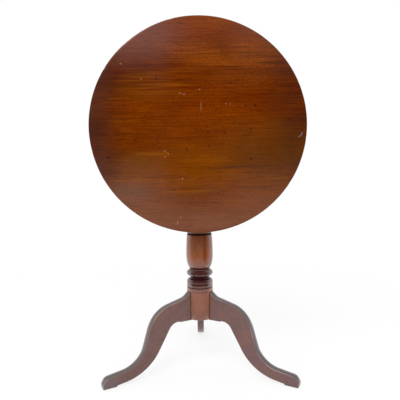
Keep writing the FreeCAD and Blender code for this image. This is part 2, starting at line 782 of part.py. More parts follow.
def make_bearers():
    """Bearers beside the block, tapered at their ends, with a running hole for each pin, and their screws."""
    underside = top_underside - S["bearer_height"]
    front = top_centre - S["bearer_length"] * 0.5
    rear = top_centre + S["bearer_length"] * 0.5
    end_low = top_underside - S["bearer_end_height"]
    outline = [(front, top_underside), (front, end_low), (front + S["bearer_taper"], underside),
               (rear - S["bearer_taper"], underside), (rear, end_low), (rear, top_underside)]
    inner = half_width + S["bearer_gap"]
    middle = inner + S["bearer_width"] * 0.5
    spacing = S["bearer_screw_spacing"]
    hole_radius = S["pin_radius"] + S["pin_clearance"]
    points = [(middle * way, top_centre + spacing * step, underside)
              for way in (-1, 1) for step in (-1, 0, 1)]
    length = S["bearer_height"] + S["bearer_screw_bite"]
    holes = drive_screws("bearer_screws", "screw", length, points, in_top=True)
    for label, way in (("bearer_left", -1), ("bearer_right", 1)):
        body = new_body(label)
        start = inner if way > 0 else -inner - S["bearer_width"]
        pad(body, draw_outline(sketch_on(body, "YZ_Plane", start), outline), S["bearer_width"])
        chamfer_edges(body, lambda p: p.z < end_low.value + SAME_PLACE, S["bearer_chamfer"])
        hole = draw_circle(sketch_on(body, "YZ_Plane", start), ZERO, ZERO, hole_radius)
        pocket(body, hole, S["bearer_width"])
        tilt(combine("Part::Cut", body, holes), label)
    return holes


def make_catch_case():
    """Brass case of the catch: a flange under the top, a housing with the bolt's channel, and its screws."""
    body = new_body("catch_case")
    flange_low = top_underside - S["case_plate_thickness"]
    channel_low = bolt_underside - S["bolt_clearance"]
    channel_high = bolt_top + S["bolt_clearance"]
    housing_low = channel_low - S["case_wall"]
    channel_width = S["bolt_width"] + S["bolt_clearance"] * 2
    housing_width = channel_width + S["case_wall"] * 2
    housing = rectangle(case_front, case_rear, housing_low, flange_low)
    pad(body, draw_outline(sketch_on(body, "YZ_Plane"), housing), housing_width, symmetric=True)
    round_edges(body, lambda p: close(p.z, housing_low.value), S["case_rounding"])
    flange = rectangle(case_front, case_rear, flange_low, top_underside)
    pad(body, draw_outline(sketch_on(body, "YZ_Plane"), flange), S["case_plate_width"], symmetric=True)
    channel = rectangle(case_front - S["case_wall"], spring_seat, channel_low, channel_high)
    pocket(body, draw_outline(sketch_on(body, "YZ_Plane"), channel), channel_width, symmetric=True)
    half_slot = S["knob_stem_radius"] + S["catch_clearance"]
    slot = rectangle(-half_slot, half_slot, knob_centre - half_slot,
                     knob_centre + S["bolt_travel"] + half_slot + S["catch_clearance"])
    pocket(body, draw_outline(sketch_on(body, "XY_Plane", housing_low), slot), S["case_wall"])
    inset = S["case_screw_inset"]
    side = S["case_plate_width"] * 0.5 - S["case_screw_margin"]
    points = [(side * way, y, flange_low) for way in (-1, 1) for y in (case_front + inset, case_rear - inset)]
    length = S["case_plate_thickness"] + S["case_screw_bite"]
    holes = drive_screws("catch_screws", "small_screw", length, points, in_top=True)
    tilt(combine("Part::Cut", body, holes), "catch_case")
    return holes


def make_catch_bolt():
    """Bolt with a bevelled nose, which slides in the case, and the knob that draws it back."""
    body = new_body("catch_bolt")
    bevel_top = bolt_underside + S["bolt_bevel"]
    outline = [(bolt_nose, bolt_top), (bolt_nose, bevel_top), (bolt_nose + S["bolt_bevel"], bolt_underside),
               (bolt_rear, bolt_underside), (bolt_rear, bolt_top)]
    pad(body, draw_outline(sketch_on(body, "YZ_Plane"), outline), S["bolt_width"], symmetric=True)
    tilt(body, "catch_bolt")
    knob = new_body("catch_knob")
    neck_low = bolt_underside - S["knob_neck_length"]
    knob_low = neck_low - S["knob_height"]
    knob_middle = (neck_low + knob_low) * 0.5
    turned = [(ZERO, bolt_underside), (ZERO, knob_low),
              (S["knob_stem_radius"], knob_low, (S["knob_radius"], knob_middle)),
              (S["knob_stem_radius"], neck_low), (S["knob_stem_radius"], bolt_underside)]
    revolve(knob, draw_outline(sketch_on(knob, "YZ_Plane", slide=knob_centre), turned))
    tilt(knob, "catch_knob")


def make_catch_spring():
    """Leaf spring folded in three between the bolt and the case's rear wall."""
    body = new_body("catch_spring")
    low = bolt_underside + S["spring_margin"]
    high = bolt_top - S["spring_margin"] - S["spring_thickness"]
    step = (spring_seat - bolt_rear) * (1 / 3)
    fold = [(bolt_rear, high), (bolt_rear + step, low), (bolt_rear + step * 2, high), (spring_seat, low)]
    over = [(y, z + S["spring_thickness"]) for y, z in reversed(fold)]
    pad(body, draw_outline(sketch_on(body, "YZ_Plane"), fold + over), S["spring_width"], symmetric=True)
    tilt(body, "catch_spring")


def check_and_export():
    """Stop at any failed object or empty shape, then write one file for each piece."""
    doc.recompute()
    for obj in doc.Objects:
        if "Invalid" in obj.State or "Error" in obj.State:
            raise RuntimeError(f"{obj.Label} ({obj.Name}) failed: {obj.State}")
    os.makedirs("parts", exist_ok=True)
    for obj in SUBPARTS:
        shape = obj.Shape
        if shape.isNull() or not shape.isValid() or not shape.Solids:
            raise RuntimeError(f"{obj.Label} has no sound solid")
    for obj in SUBPARTS:
        obj.Shape.exportStep(f"parts/{obj.Label}.step")
        box = obj.Shape.optimalBoundingBox()
        print(f"{obj.Label}: {len(obj.Shape.Solids)} solids, {obj.Shape.Volume / 1000:.1f} cm3, "
              f"x {box.XMin:.1f} to {box.XMax:.1f}, y {box.YMin:.1f} to {box.YMax:.1f}, "
              f"z {box.ZMin:.1f} to {box.ZMax:.1f}")


make_column()
for leg_label, leg_azimuth in LEGS.items():
    make_leg(leg_label, leg_azimuth)
make_brace()
pin_holes = make_pins()
keep_holes = make_keep()
make_block([pin_holes, keep_holes])
make_wedge()
bearer_holes = make_bearers()
catch_holes = make_catch_case()
make_top([bearer_holes, catch_holes])
make_catch_bolt()
make_catch_spring()
check_and_export()
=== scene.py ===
# %% [markdown]
# # A tripod table with a tilting round top
# The table stands with its top tipped upright, as it would be put away against a wall. The measured
# model arrives as a fixed frame: every node sits where the real piece sits, in metres, with the
# floor at z = 0 and the face of the top towards -Y. The lesson then dresses that frame. The pieces
# that carry the look of the table, its top, column and legs, are made again as finer meshes with
# worn edges, and the rest keep their measured shapes and get finishes made of nodes.

# %% Load the measured model
import math
import random
import bmesh
import bpy
from mathutils import Euler, Matrix, Vector


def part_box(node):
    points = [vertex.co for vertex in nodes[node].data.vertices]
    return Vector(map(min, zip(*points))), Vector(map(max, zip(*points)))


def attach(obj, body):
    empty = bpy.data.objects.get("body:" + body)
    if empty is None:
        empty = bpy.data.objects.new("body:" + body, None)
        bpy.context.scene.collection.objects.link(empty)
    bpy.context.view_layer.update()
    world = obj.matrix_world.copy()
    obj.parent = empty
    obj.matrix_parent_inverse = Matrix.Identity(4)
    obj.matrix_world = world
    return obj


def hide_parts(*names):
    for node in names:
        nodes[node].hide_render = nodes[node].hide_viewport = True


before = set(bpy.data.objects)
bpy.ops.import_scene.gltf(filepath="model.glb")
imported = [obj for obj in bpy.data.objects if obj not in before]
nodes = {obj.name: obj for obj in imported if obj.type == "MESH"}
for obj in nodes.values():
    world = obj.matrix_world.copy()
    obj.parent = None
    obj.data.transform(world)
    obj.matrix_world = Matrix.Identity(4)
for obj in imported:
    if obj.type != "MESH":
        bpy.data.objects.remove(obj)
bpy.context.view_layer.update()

# %% [markdown]
# ## Camera
# The picture was taken from the front, a little above the legs and level with the lower part of the
# top, with the camera tipped down by two degrees and turned by a fraction. A camera could be aimed
# with a Track To constraint, but three plain angles keep the small roll, which leans the table to
# the left. The lens is as long as the sensor is wide.

# %% Place the camera
TIP_DOWN = math.radians(2.427)
TURN_LEFT = math.radians(0.223)
ROLL = math.radians(-0.7)
CAMERA_PLACE = (0.0082, -1.218, 0.5562)
FILM_WIDTH = 36.0
camera_data = bpy.data.cameras.new("camera")
camera_data.sensor_width = FILM_WIDTH
camera_data.lens = FILM_WIDTH
camera = bpy.data.objects.new("camera", camera_data)
aim = Euler((math.radians(90) - TIP_DOWN, 0.0, TURN_LEFT)).to_matrix() @ Matrix.Rotation(ROLL, 3, "Z")
camera.matrix_world = Matrix.Translation(CAMERA_PLACE) @ aim.to_4x4()
scene = bpy.context.scene
scene.collection.objects.link(camera)
scene.camera = camera
scene.view_settings.view_transform = "Standard"
print("camera:", [round(v, 3) for v in camera.location])

# %% [markdown]
# ## Nodes in few words
# Every finish below is a tree of shader nodes. Written out in full, a tree takes many lines for
# little, so a few small helpers do the routine work: one adds a node and fills its sockets, and the
# others are the nodes used most, which are sums, eased steps, mixes and noise.

# %% Helpers for shader nodes
def put(tree, kind, sockets=None, **settings):
    """Add a node; each socket takes a constant or another node's output."""
    made = tree.nodes.new("ShaderNode" + kind)
    for name, value in settings.items():
        setattr(made, name, value)
    for name, value in (sockets or {}).items():
        if isinstance(value, bpy.types.NodeSocket):
            tree.links.new(value, made.inputs[name])
        else:
            made.inputs[name].default_value = value
    return made


def sums(tree, operation, first, second=0.0):
    """One sum of two numbers, by a Math node."""
    return put(tree, "Math", {0: first, 1: second}, operation=operation).outputs[0]


def times(tree, first, second):
    return sums(tree, "MULTIPLY", first, second)


def apart(tree, first, second):
    """How far two numbers are from each other."""
    return sums(tree, "ABSOLUTE", sums(tree, "SUBTRACT", first, second))


def step(tree, value, low, high, start=0.0, end=1.0):
    """Ease from start to end while value goes from low to high."""
    sockets = {"Value": value, "From Min": low, "From Max": high, "To Min": start, "To Max": end}
    return put(tree, "MapRange", sockets, interpolation_type="SMOOTHSTEP").outputs["Result"]


def blend(tree, share, first, second):
    """Go from one number to another."""
    return put(tree, "Mix", {0: share, 2: first, 3: second}).outputs[0]


def mix(tree, share, under, over):
    """Go from one colour to another."""
    return put(tree, "Mix", {0: share, 6: under, 7: over}, data_type="RGBA").outputs[2]


def tint(tree, under, mask, share, colour):
    """Lay a colour over another where a mask says so, up to a share."""
    return mix(tree, times(tree, mask, share), under, (*colour, 1.0))


def cloud(tree, vector, scale, detail=2.0, roughness=0.5, warp=0.0):
    sockets = {"Vector": vector, "Scale": scale, "Detail": detail, "Roughness": roughness, "Distortion": warp}
    return put(tree, "TexNoise", sockets).outputs[0]


def stretch(tree, vector, factors):
    return put(tree, "VectorMath", {0: vector, 1: factors}, operation="MULTIPLY").outputs[0]


def new_group(name, inputs, outputs):
    """An empty node group with named sockets; gives back the group, its inputs and its outputs."""
    group = bpy.data.node_groups.new(name, "ShaderNodeTree")
    for socket, kind in inputs.items():
        group.interface.new_socket(socket, in_out="INPUT", socket_type="NodeSocket" + kind)
    for socket in outputs:
        group.interface.new_socket(socket, in_out="OUTPUT", socket_type="NodeSocketFloat")
    entry = group.nodes.new("NodeGroupInput").outputs
    way_out = group.nodes.new("NodeGroupOutput").inputs
    return group, entry, way_out


def placed(tree, group, sockets):
    """Place a node group in a tree, and give back its outputs."""
    return put(tree, "Group", sockets, node_tree=group).outputs


# %% [markdown]
# ## Studio
# The table stands on white paper in a white room, and polished wood mirrors all of it. So the room
# is dim behind the camera, most of all in the middle, and a little dim high at the back. The top
# mirrors the dim side and looks deep and rich, while the legs mirror the pale floor and look
# veiled. A ring of lamps could do this, but a world with soft edges gives the same light with no
# hard spots.

# %% World
world = bpy.data.worlds.new("studio")
scene.world = world
world.use_nodes = True
sky = world.node_tree
sky.nodes.clear()
towards = put(sky, "SeparateXYZ", {0: put(sky, "TexCoord").outputs["Generated"]}).outputs
ROOM = 1.2
HIGH_BACK = 0.75
HIGH_GLOW = 0.8
LOW_GLOW = 0.85
MIDDLE_SHARE = 0.25
RIGHT_SHARE = 0.65
DIM_EDGE = (0.29, 0.44)
front = step(sky, times(sky, towards["Y"], -1.0), *DIM_EDGE)
left_side = step(sky, towards["X"], -0.06, -0.10)
right_side = step(sky, towards["X"], 0.02, 0.12, 0.0, RIGHT_SHARE)
aside = sums(sky, "MAXIMUM", left_side, right_side)
high = step(sky, towards["Z"], 0.23, 0.38, 0.0, HIGH_GLOW)
high = times(sky, high, step(sky, aside, 0.0, 1.0, MIDDLE_SHARE, 1.0))
low_middle = step(sky, towards["Z"], 0.0, -0.12, 0.0, LOW_GLOW)
low_aside = step(sky, towards["Z"], 0.08, -0.06, 0.0, LOW_GLOW)
low = blend(sky, aside, low_middle, low_aside)
high_back = times(sky, step(sky, towards["Z"], 0.08, 0.3), step(sky, towards["Y"], 0.05, 0.5))
walls = blend(sky, high_back, ROOM, HIGH_BACK)
room = blend(sky, front, walls, sums(sky, "ADD", high, low))
path = put(sky, "LightPath").outputs
seen = sums(sky, "MAXIMUM", path["Is Camera Ray"], path["Is Transmission Ray"])
level = blend(sky, seen, room, 1.0)
background = put(sky, "Background", {"Color": (1.0, 1.0, 1.0, 1.0), "Strength": level})
sky.links.new(background.outputs[0], sky.nodes.new("ShaderNodeOutputWorld").inputs[0])
print("world: white room, dim behind the camera")

# %% [markdown]
# ## Lamp and floor
# One large soft lamp high at the front adds the light that the dim side takes away, and mirrored
# rays pass it by, so no bright panel shows in the polish. The floor is white paper that keeps the
# shadow. Beyond the paper, towards the camera, lies bare dark floor that only mirrored rays meet:
# it keeps the middles of the turnings dark, as in the picture. A dark card in front of the table
# would do the same. From below, the floor is clear.

# %% Lamp
LAMP_PLACE = Vector((-0.7, -2.0, 3.1))
LAMP_AIM = Vector((0.0, 0.0, 0.6))
lamp_data = bpy.data.lights.new("high_front", "AREA")
lamp_data.shape = "RECTANGLE"
lamp_data.size = 1.8
lamp_data.size_y = 1.2
lamp_data.energy = 58.0
high_front = bpy.data.objects.new("high_front", lamp_data)
high_front.location = LAMP_PLACE
high_front.rotation_euler = (LAMP_AIM - LAMP_PLACE).to_track_quat("-Z", "Y").to_euler()
high_front.visible_glossy = False
scene.collection.objects.link(high_front)
print("lamp watts:", lamp_data.energy)

# %% Floor
FLOOR_RADIUS = 6.0
BARE_FLOOR = 0.12
PAPER_EDGE = (0.75, 1.0)
BARE_END = (3.6, 2.8)
SHADOW_FADE = (0.5, 2.0)
LEAST_LIT = 0.82
bpy.ops.mesh.primitive_circle_add(vertices=96, radius=FLOOR_RADIUS, fill_type="NGON")
floor = bpy.context.object
floor.name = "floor"
floor_finish = bpy.data.materials.new("white_floor")
floor_finish.use_nodes = True
tree = floor_finish.node_tree
tree.nodes.clear()
path = put(tree, "LightPath").outputs
shown = sums(tree, "MAXIMUM", path["Is Camera Ray"], path["Is Transmission Ray"])
shown = sums(tree, "MAXIMUM", shown, path["Is Glossy Ray"])
paper = put(tree, "BsdfDiffuse", {"Color": (0.9, 0.9, 0.9, 1.0)}).outputs[0]
floor_place = put(tree, "TexCoord").outputs["Object"]
from_table = put(tree, "VectorMath", {0: floor_place}, operation="LENGTH").outputs["Value"]
to_camera = times(tree, put(tree, "SeparateXYZ", {0: floor_place}).outputs["Y"], -1.0)
to_front = sums(tree, "DIVIDE", to_camera, sums(tree, "MAXIMUM", from_table, 0.1))
bare = times(tree, step(tree, to_front, *DIM_EDGE), step(tree, from_table, *PAPER_EDGE))
bare = times(tree, bare, step(tree, from_table, *BARE_END))
bare = times(tree, bare, path["Is Glossy Ray"])
strength = blend(tree, bare, 1.0, BARE_FLOOR)
lit = put(tree, "Emission", {"Color": (1.0, 1.0, 1.0, 1.0), "Strength": strength}).outputs[0]
share = times(tree, shown, step(tree, from_table, *SHADOW_FADE, LEAST_LIT, 1.0))
surface = put(tree, "MixShader", {0: share, 1: paper, 2: lit}).outputs[0]
clear = put(tree, "BsdfTransparent").outputs[0]
from_below = put(tree, "NewGeometry").outputs["Backfacing"]
surface = put(tree, "MixShader", {0: from_below, 1: surface, 2: clear}).outputs[0]
tree.links.new(surface, tree.nodes.new("ShaderNodeOutputMaterial").inputs[0])
floor.data.materials.append(floor_finish)
print("floor radius:", FLOOR_RADIUS)

# %% [markdown]
# ## Mesh helpers
# Each new piece is a set of rings of points joined by quads: the top is rings that shrink towards
# its middle, the column is rings up its axis, and a leg is its outline repeated across its
# thickness. So one function joins rings, and a second gives each point numbers for the finishes to
# read, such as how near it is to a worn edge.

# %% Rings to meshes
def skin(name, rings):
    """Join closed rings of equally many points by quads, and close the two ends with a face each."""
    mesh = bmesh.new()
    made = [[mesh.verts.new(point) for point in ring] for ring in rings]
    count = len(rings[0])
    for low, high in zip(made, made[1:]):
        for i in range(count):
            j = (i + 1) % count
            mesh.faces.new((low[i], low[j], high[j], high[i]))
    mesh.faces.new(reversed(made[0]))
    mesh.faces.new(made[-1])
    bmesh.ops.recalc_face_normals(mesh, faces=mesh.faces)
    data = bpy.data.meshes.new(name)
    mesh.to_mesh(data)
    mesh.free()
    data.polygons.foreach_set("use_smooth", [True] * len(data.polygons))
    piece = bpy.data.objects.new(name, data)
    scene.collection.objects.link(piece)
    return piece


def keep_flats(piece):
    """Let large flat faces decide the shading of the rounded edges beside them."""
    even = piece.modifiers.new("even_shading", "WEIGHTED_NORMAL")
    even.weight = 90


def mark_points(piece, name, values):
    """Store one number, or one place, for each point of a piece."""
    is_place = hasattr(values[0], "__len__")
    kind = "FLOAT_VECTOR" if is_place else "FLOAT"
    layer = piece.data.attributes.new(name, kind, "POINT")
    flat = [number for value in values for number in value] if is_place else values
    layer.data.foreach_set("vector" if is_place else "value", flat)


def arc(start, middle, end, pieces):
    """Points from start up to, but not including, end on the circle through three points."""
    (ax, ay), (bx, by), (cx, cy) = start, middle, end
    d = 2 * (ax * (by - cy) + bx * (cy - ay) + cx * (ay - by))
    ux = ((ax**2 + ay**2) * (by - cy) + (bx**2 + by**2) * (cy - ay) + (cx**2 + cy**2) * (ay - by)) / d
    uy = ((ax**2 + ay**2) * (cx - bx) + (bx**2 + by**2) * (ax - cx) + (cx**2 + cy**2) * (bx - ax)) / d
    radius = math.hypot(ax - ux, ay - uy)
    first, half, last = (math.atan2(y - uy, x - ux) for x, y in (start, middle, end))
    forward = (half - first) % math.tau < (last - first) % math.tau
    sweep = (last - first) % math.tau if forward else -((first - last) % math.tau)
    angles = [first + sweep * i / pieces for i in range(pieces)]
    return [(ux + radius * math.cos(a), uy + radius * math.sin(a)) for a in angles]


# %% [markdown]
# ## The round top
# One wide board, a little narrower across the grain than along it, because old wood shrinks that
# way. Its face edge was once crisp and is now rubbed round unevenly, most of all at the upper left,
# with a few nicks, and where it is rounded most the finish also paints a highlight on it. A cylinder
# with a Bevel modifier would give an edge that is the same all round, so here each point of the rim
# gets its own rounding.

# %% Make the top
low_corner, high_corner = (Vector(corner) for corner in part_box("top_board"))
TOP_CENTRE = (low_corner + high_corner) / 2
HALF_ALONG = (high_corner.x - low_corner.x) / 2
HALF_ACROSS = (high_corner.z - low_corner.z) / 2
FACE_Y = low_corner.y
BACK_Y = high_corner.y
RIM_POINTS = 256
FACE_ROUNDING = 0.0018
BACK_ROUNDING = 0.005
ROUND_STEPS = 6
FACE_RINGS = (0.97, 0.9, 0.8, 0.65, 0.5, 0.35, 0.2, 0.1, 0.05, 0.03, 0.0145)
BACK_RINGS = (0.05, 0.2, 0.5, 0.8, 0.97)
PALE_AT_RIM = 0.75
# The rim is rounded most at this angle, and the finish paints its brightest highlight there too.
MOST_WORN_AND_HIGHLIT = math.radians(128)
WORN_AND_HIGHLIT_SPREAD = 0.35
WAVES = 9
NICKS = 26
rubbing = random.Random(4)
waves = [(rubbing.randint(2, 17), rubbing.uniform(0, math.tau), rubbing.uniform(0.2, 1.0))
         for _ in range(WAVES)]
nicks = [(rubbing.uniform(0, math.tau), rubbing.uniform(0.006, 0.016), rubbing.uniform(0.3, 1.0))
         for _ in range(NICKS)]


def turned_by(angle, other):
    """The smaller angle between two directions."""
    return abs((angle - other + math.pi) % math.tau - math.pi)


def wear_at(angle):
    """How much of the rim's arris is rubbed away here, from 0 to 1; the finish also paints a highlight where
    it is high.
    """
    slow = sum(height * math.sin(turns * angle + shift) for turns, shift, height in waves) / 5
    sharp = 0.0
    for where, width, depth in nicks:
        sharp = max(sharp, depth * math.exp(-(turned_by(angle, where) / width) ** 2))
    pale_mark = 0.6 * math.exp(-(turned_by(angle, MOST_WORN_AND_HIGHLIT) / WORN_AND_HIGHLIT_SPREAD) ** 2)
    return min(1.0, max(0.0, 0.25 + 0.25 * slow) + 0.5 * sharp + pale_mark)


def rim_ring(inset_at, y_at):
    """A ring of the top's points, each moved in from the rim and set at a depth of its own."""
    ring = []
    for i in range(RIM_POINTS):
        angle = math.tau * i / RIM_POINTS
        inset = inset_at(angle)
        x = (HALF_ALONG - inset) * math.cos(angle)
        z = TOP_CENTRE.z + (HALF_ACROSS - inset) * math.sin(angle)
        ring.append((x, y_at(angle), z))
    return ring


def face_rounding(angle):
    return FACE_ROUNDING * (0.5 + 1.5 * wear_at(angle))


rings = []
edge_marks = []
for share in FACE_RINGS:
    rings.append(rim_ring(lambda a: share * HALF_ACROSS, lambda a: FACE_Y))
    edge_marks.append(0.0)
edge_marks[-1] = PALE_AT_RIM
for i in range(ROUND_STEPS + 1):
    turn = math.radians(90) * i / ROUND_STEPS
    rings.append(rim_ring(lambda a: face_rounding(a) * (1 - math.sin(turn)),
                          lambda a: FACE_Y + face_rounding(a) * (1 - math.cos(turn))))
    edge_marks.append(math.sin(2 * turn) * 0.6 + 0.4)
for i in range(ROUND_STEPS + 1):
    turn = math.radians(90) * i / ROUND_STEPS
    rings.append(rim_ring(lambda a: BACK_ROUNDING * (1 - math.cos(turn)),
                          lambda a: BACK_Y - BACK_ROUNDING * (1 - math.sin(turn))))
    edge_marks.append(0.2 * math.sin(2 * turn))
for share in BACK_RINGS:
    rings.append(rim_ring(lambda a: share * HALF_ACROSS, lambda a: BACK_Y))
    edge_marks.append(0.0)
top = skin("round_top", rings)
rim_wear = [wear_at(math.tau * i / RIM_POINTS) for i in range(RIM_POINTS)]
mark_points(top, "arris", [edge * wear for edge in edge_marks for wear in rim_wear])
keep_flats(top)
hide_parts("top_board")
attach(top, "top")
print("top: points", len(top.data.vertices), "faces", len(top.data.polygons))

# %% [markdown]
# ## The turned column
# The column was cut on a lathe, so all of it follows from one outline: a drum for the legs, a fine
# bead, two rings with deep necks, a long vase, and above that the parts that the upright top hides.
# A Screw modifier on a curve would do, but making the rings one by one lets each point keep two
# numbers for the finish: how deep in a neck it lies, where the finish paints shade, and how proud it
# stands, where hands rub it pale.

# %% Outline of the column
HAIR = 0.0003
DRUM_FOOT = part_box("column")[0][2]
TENON_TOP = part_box("column")[1][2] - HAIR
MM = 0.001
turnings = []


def turn_line(*points):
    turnings.extend((radius * MM, DRUM_FOOT + height * MM) for radius, height in points)


def turn_arc(start, middle, end, pieces=8):
    turn_line(*arc(start, middle, end, pieces))


turn_line((0.2, 0.0), (30.0, 0.0), (38.8, 0.0), (39.6, 0.8), (39.6, 40.0), (39.6, 93.4))
turn_line((39.0, 94.0), (37.4, 94.2), (37.4, 96.3))
turn_arc((38.1, 96.6), (40.3, 99.0), (38.1, 101.4))
turn_line((38.1, 101.5), (39.2, 101.7))
turn_line((39.6, 102.1), (39.6, 113.0))
turn_arc((39.6, 113.0), (37.55, 117.95), (32.6, 120.0))
turn_arc((32.0, 120.2), (28.3, 124.6), (32.0, 129.0))
turn_arc((32.0, 129.2), (40.4, 138.45), (32.0, 147.5), 14)
turn_arc((32.0, 147.7), (30.4, 150.85), (32.0, 154.0), 6)
turn_arc((32.0, 154.0), (35.71, 160.75), (37.9, 167.5), 6)
turn_arc((37.9, 167.5), (40.15, 181.0), (40.9, 194.5), 8)
turn_arc((40.9, 194.5), (40.3, 223.5), (38.5, 252.5), 10)
turn_line((38.5, 252.5), (38.3, 254.8), (37.9, 255.3), (36.2, 255.5), (36.2, 260.2))
turn_line((37.8, 260.4), (38.4, 260.9), (38.5, 271.5), (38.0, 272.0), (36.5, 272.0))
turn_arc((36.5, 272.0), (29.78, 274.78), (27.0, 281.5), 8)
turn_line((27.0, 281.5), (28.3, 281.6), (28.5, 281.8))
turn_arc((28.5, 284.5), (26.75, 371.5), (22.0, 458.5), 24)
turn_arc((22.0, 458.5), (26.5, 462.5), (22.0, 466.5))
turn_line((22.0, 466.5), (22.0, 470.5))
turn_arc((22.0, 470.5), (24.93, 477.57), (32.0, 480.5), 8)
turn_line((32.0, 480.5), (33.7, 480.6), (34.0, 480.9), (34.0, 485.0), (19.0, 485.0))
turnings.extend([(19.0 * MM, TENON_TOP), (0.2 * MM, TENON_TOP)])
print("column outline points:", len(turnings))

# %% Spin the column
ROUND_POINTS = 96
REACH = 0.02
FULL_MARK = 0.006


def nearby_radius(height):
    """Mean radius of the outline within a reach of a height."""
    close = [r for r, h in turnings if abs(h - height) < REACH]
    return sum(close) / len(close)


rings = []
depth_marks = []
proud_marks = []
angles = [math.tau * k / ROUND_POINTS for k in range(ROUND_POINTS)]
for radius, height in turnings:
    rings.append([(radius * math.cos(a), radius * math.sin(a), height) for a in angles])
    difference = (radius - nearby_radius(height)) / FULL_MARK
    depth_marks.extend([max(0.0, min(1.0, -difference))] * ROUND_POINTS)
    proud_marks.extend([max(0.0, min(1.0, difference))] * ROUND_POINTS)
column = skin("turned_column", rings)
mark_points(column, "hollow", depth_marks)
mark_points(column, "proud", proud_marks)
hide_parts("column")
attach(column, "base")
print("column: points", len(column.data.vertices))

# %% [markdown]
# ## The three legs
# Each leg is sawn from one board with flat sides, then its edges are eased with a scraper. The
# outline is a few corners, each with its own rounding, and the leg is that outline repeated across
# the thickness, drawn in near both sides for the eased edge, and its upper edge is crowned a
# little. Extruding a curve with a bevel would look alike, but this way each point knows how near it
# is to the edge, whether it lies on the upper edge, and where it lies in the board, so the grain
# runs straight through the leg.

# %% Outline of a leg
LEDGE = DRUM_FOOT
LEG_CORNERS = [
    (0.030, LEDGE, 0.0), (0.0995, LEDGE, 0.032), (0.176, 0.015, 0.138),
    (0.2700, 0.0032, 0.0), (0.2700, 0.0, 0.0), (0.3085, 0.0, 0.002),
    (0.3120, 0.0284, 0.020), (0.2014, 0.0438, 0.076), (0.1582, LEDGE + 0.0422, 0.090),
    (0.0560, LEDGE + 0.0691, 0.030), (0.0380, LEDGE + 0.0855, 0.0), (0.030, LEDGE + 0.0880, 0.0),
]
ROUND_PIECES = 14


def rounded(corners):
    """Points along a closed outline whose corners are replaced by arcs."""
    points = []
    for i, (x, y, radius) in enumerate(corners):
        here = Vector((x, y))
        back = (Vector(corners[i - 1][:2]) - here).normalized()
        ahead = (Vector(corners[(i + 1) % len(corners)][:2]) - here).normalized()
        if not radius:
            points.append(here)
            continue
        half = back.angle(ahead) / 2
        middle = (back + ahead).normalized()
        centre = here + middle * (radius / math.sin(half))
        first = here + back * (radius / math.tan(half))
        last = here + ahead * (radius / math.tan(half))
        for k in range(ROUND_PIECES + 1):
            way = (first - centre).lerp(last - centre, k / ROUND_PIECES)
            points.append(centre + way.normalized() * radius)
    return points


def inwards(points):
    """For each point of a closed outline, the direction to its inside."""
    ways = []
    for i, here in enumerate(points):
        along = (points[(i + 1) % len(points)] - here).normalized() + (here - points[i - 1]).normalized()
        ways.append(Vector((-along.y, along.x)).normalized())
    return ways


outline = rounded(LEG_CORNERS)
outline_in = inwards(outline)
UPWARD_GAIN = 2.5
faces_up = [min(1.0, max(0.0, -way.y * UPWARD_GAIN)) for way in outline_in]
print("leg outline points:", len(outline))

# %% Make the legs
HALF_LEG = 0.011
EASING = 0.0021
GRAIN_SLOPE = math.radians(38)
LEG_TURNS = {"leg_left": 210, "leg_right": 330, "leg_rear": 90}
CROWN = 0.0018
EASE_STEPS = 4
FLAT_DEPTHS = (0.0040, 0.0060, 0.0080, 0.0100)
section = []
for i in range(EASE_STEPS + 1):
    turn = math.radians(90) * i / EASE_STEPS
    section.append((EASING * (1 - math.sin(turn)), EASING * (1 - math.cos(turn)), math.sin(2 * turn)))
section.extend([(0.0, depth, 0.0) for depth in FLAT_DEPTHS])
section = section + [(inset, 2 * HALF_LEG - depth, mark) for inset, depth, mark in reversed(section)]


def make_leg(node, turn):
    way = Vector((math.cos(turn), math.sin(turn), 0))
    side = Vector((-math.sin(turn), math.cos(turn), 0))
    rings = []
    edges = []
    boards = []
    crest = []
    for inset, depth, mark in section:
        across = HALF_LEG - depth
        crown = CROWN * (across / HALF_LEG) ** 2
        ring = [p + inner * (inset + crown * up) for p, inner, up in zip(outline, outline_in, faces_up)]
        on_edge = abs(across) < HALF_LEG - 0.5 * EASING
        crest.extend([up if on_edge else 0.0 for up in faces_up])
        rings.append([way * p.x + side * across + Vector((0, 0, p.y)) for p in ring])
        edges.extend([mark] * len(ring))
        for p in ring:
            along = p.x * math.cos(GRAIN_SLOPE) - p.y * math.sin(GRAIN_SLOPE)
            upward = p.x * math.sin(GRAIN_SLOPE) + p.y * math.cos(GRAIN_SLOPE)
            boards.append((along, upward, across))
    leg = skin("curved_" + node, rings)
    mark_points(leg, "arris", edges)
    mark_points(leg, "board", boards)
    mark_points(leg, "crest", crest)
    keep_flats(leg)
    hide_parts(node)
    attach(leg, "base")
    return leg


legs = [make_leg(node, math.radians(turn)) for node, turn in LEG_TURNS.items()]
print("legs:", [leg.name for leg in legs], "points each", len(legs[0].data.vertices))

# %% [markdown]
# ## Wood grain
# All the wood is one kind, a red-brown tropical timber, so its figure is a node group that every
# wooden finish shares. It takes a place whose first number runs along the grain, and gives four
# masks: broad figure, bands, fine streaks, and the short dark pores of this timber. A Wave texture
# would give the rings of softwood; noise stretched many times along the grain is nearer to a
# plain-sawn tropical board.

# %% Group for wood grain
GRAIN_MASKS = {  # scale along and across the grain, detail, roughness, start and full value of the mask
    "Figure": (2.2, 14.0, 2.0, 0.5, 0.3, 0.7),
    "Bands": (3.6, 75.0, 3.0, 0.55, 0.33, 0.67),
    "Streaks": (8.0, 320.0, 3.0, 0.6, 0.38, 0.7),
    "Pores": (40.0, 560.0, 2.0, 0.6, 0.54, 0.68),
}
grain_group, enter, leave = new_group("wood grain", {"Place": "Vector"}, GRAIN_MASKS)
for name, (along, across, detail, roughness, start, full) in GRAIN_MASKS.items():
    stretched = stretch(grain_group, enter["Place"], (along, across, across))
    noise = cloud(grain_group, stretched, 1.0, detail, roughness)
    grain_group.links.new(step(grain_group, noise, start, full), leave[name])
print("group:", grain_group.name)

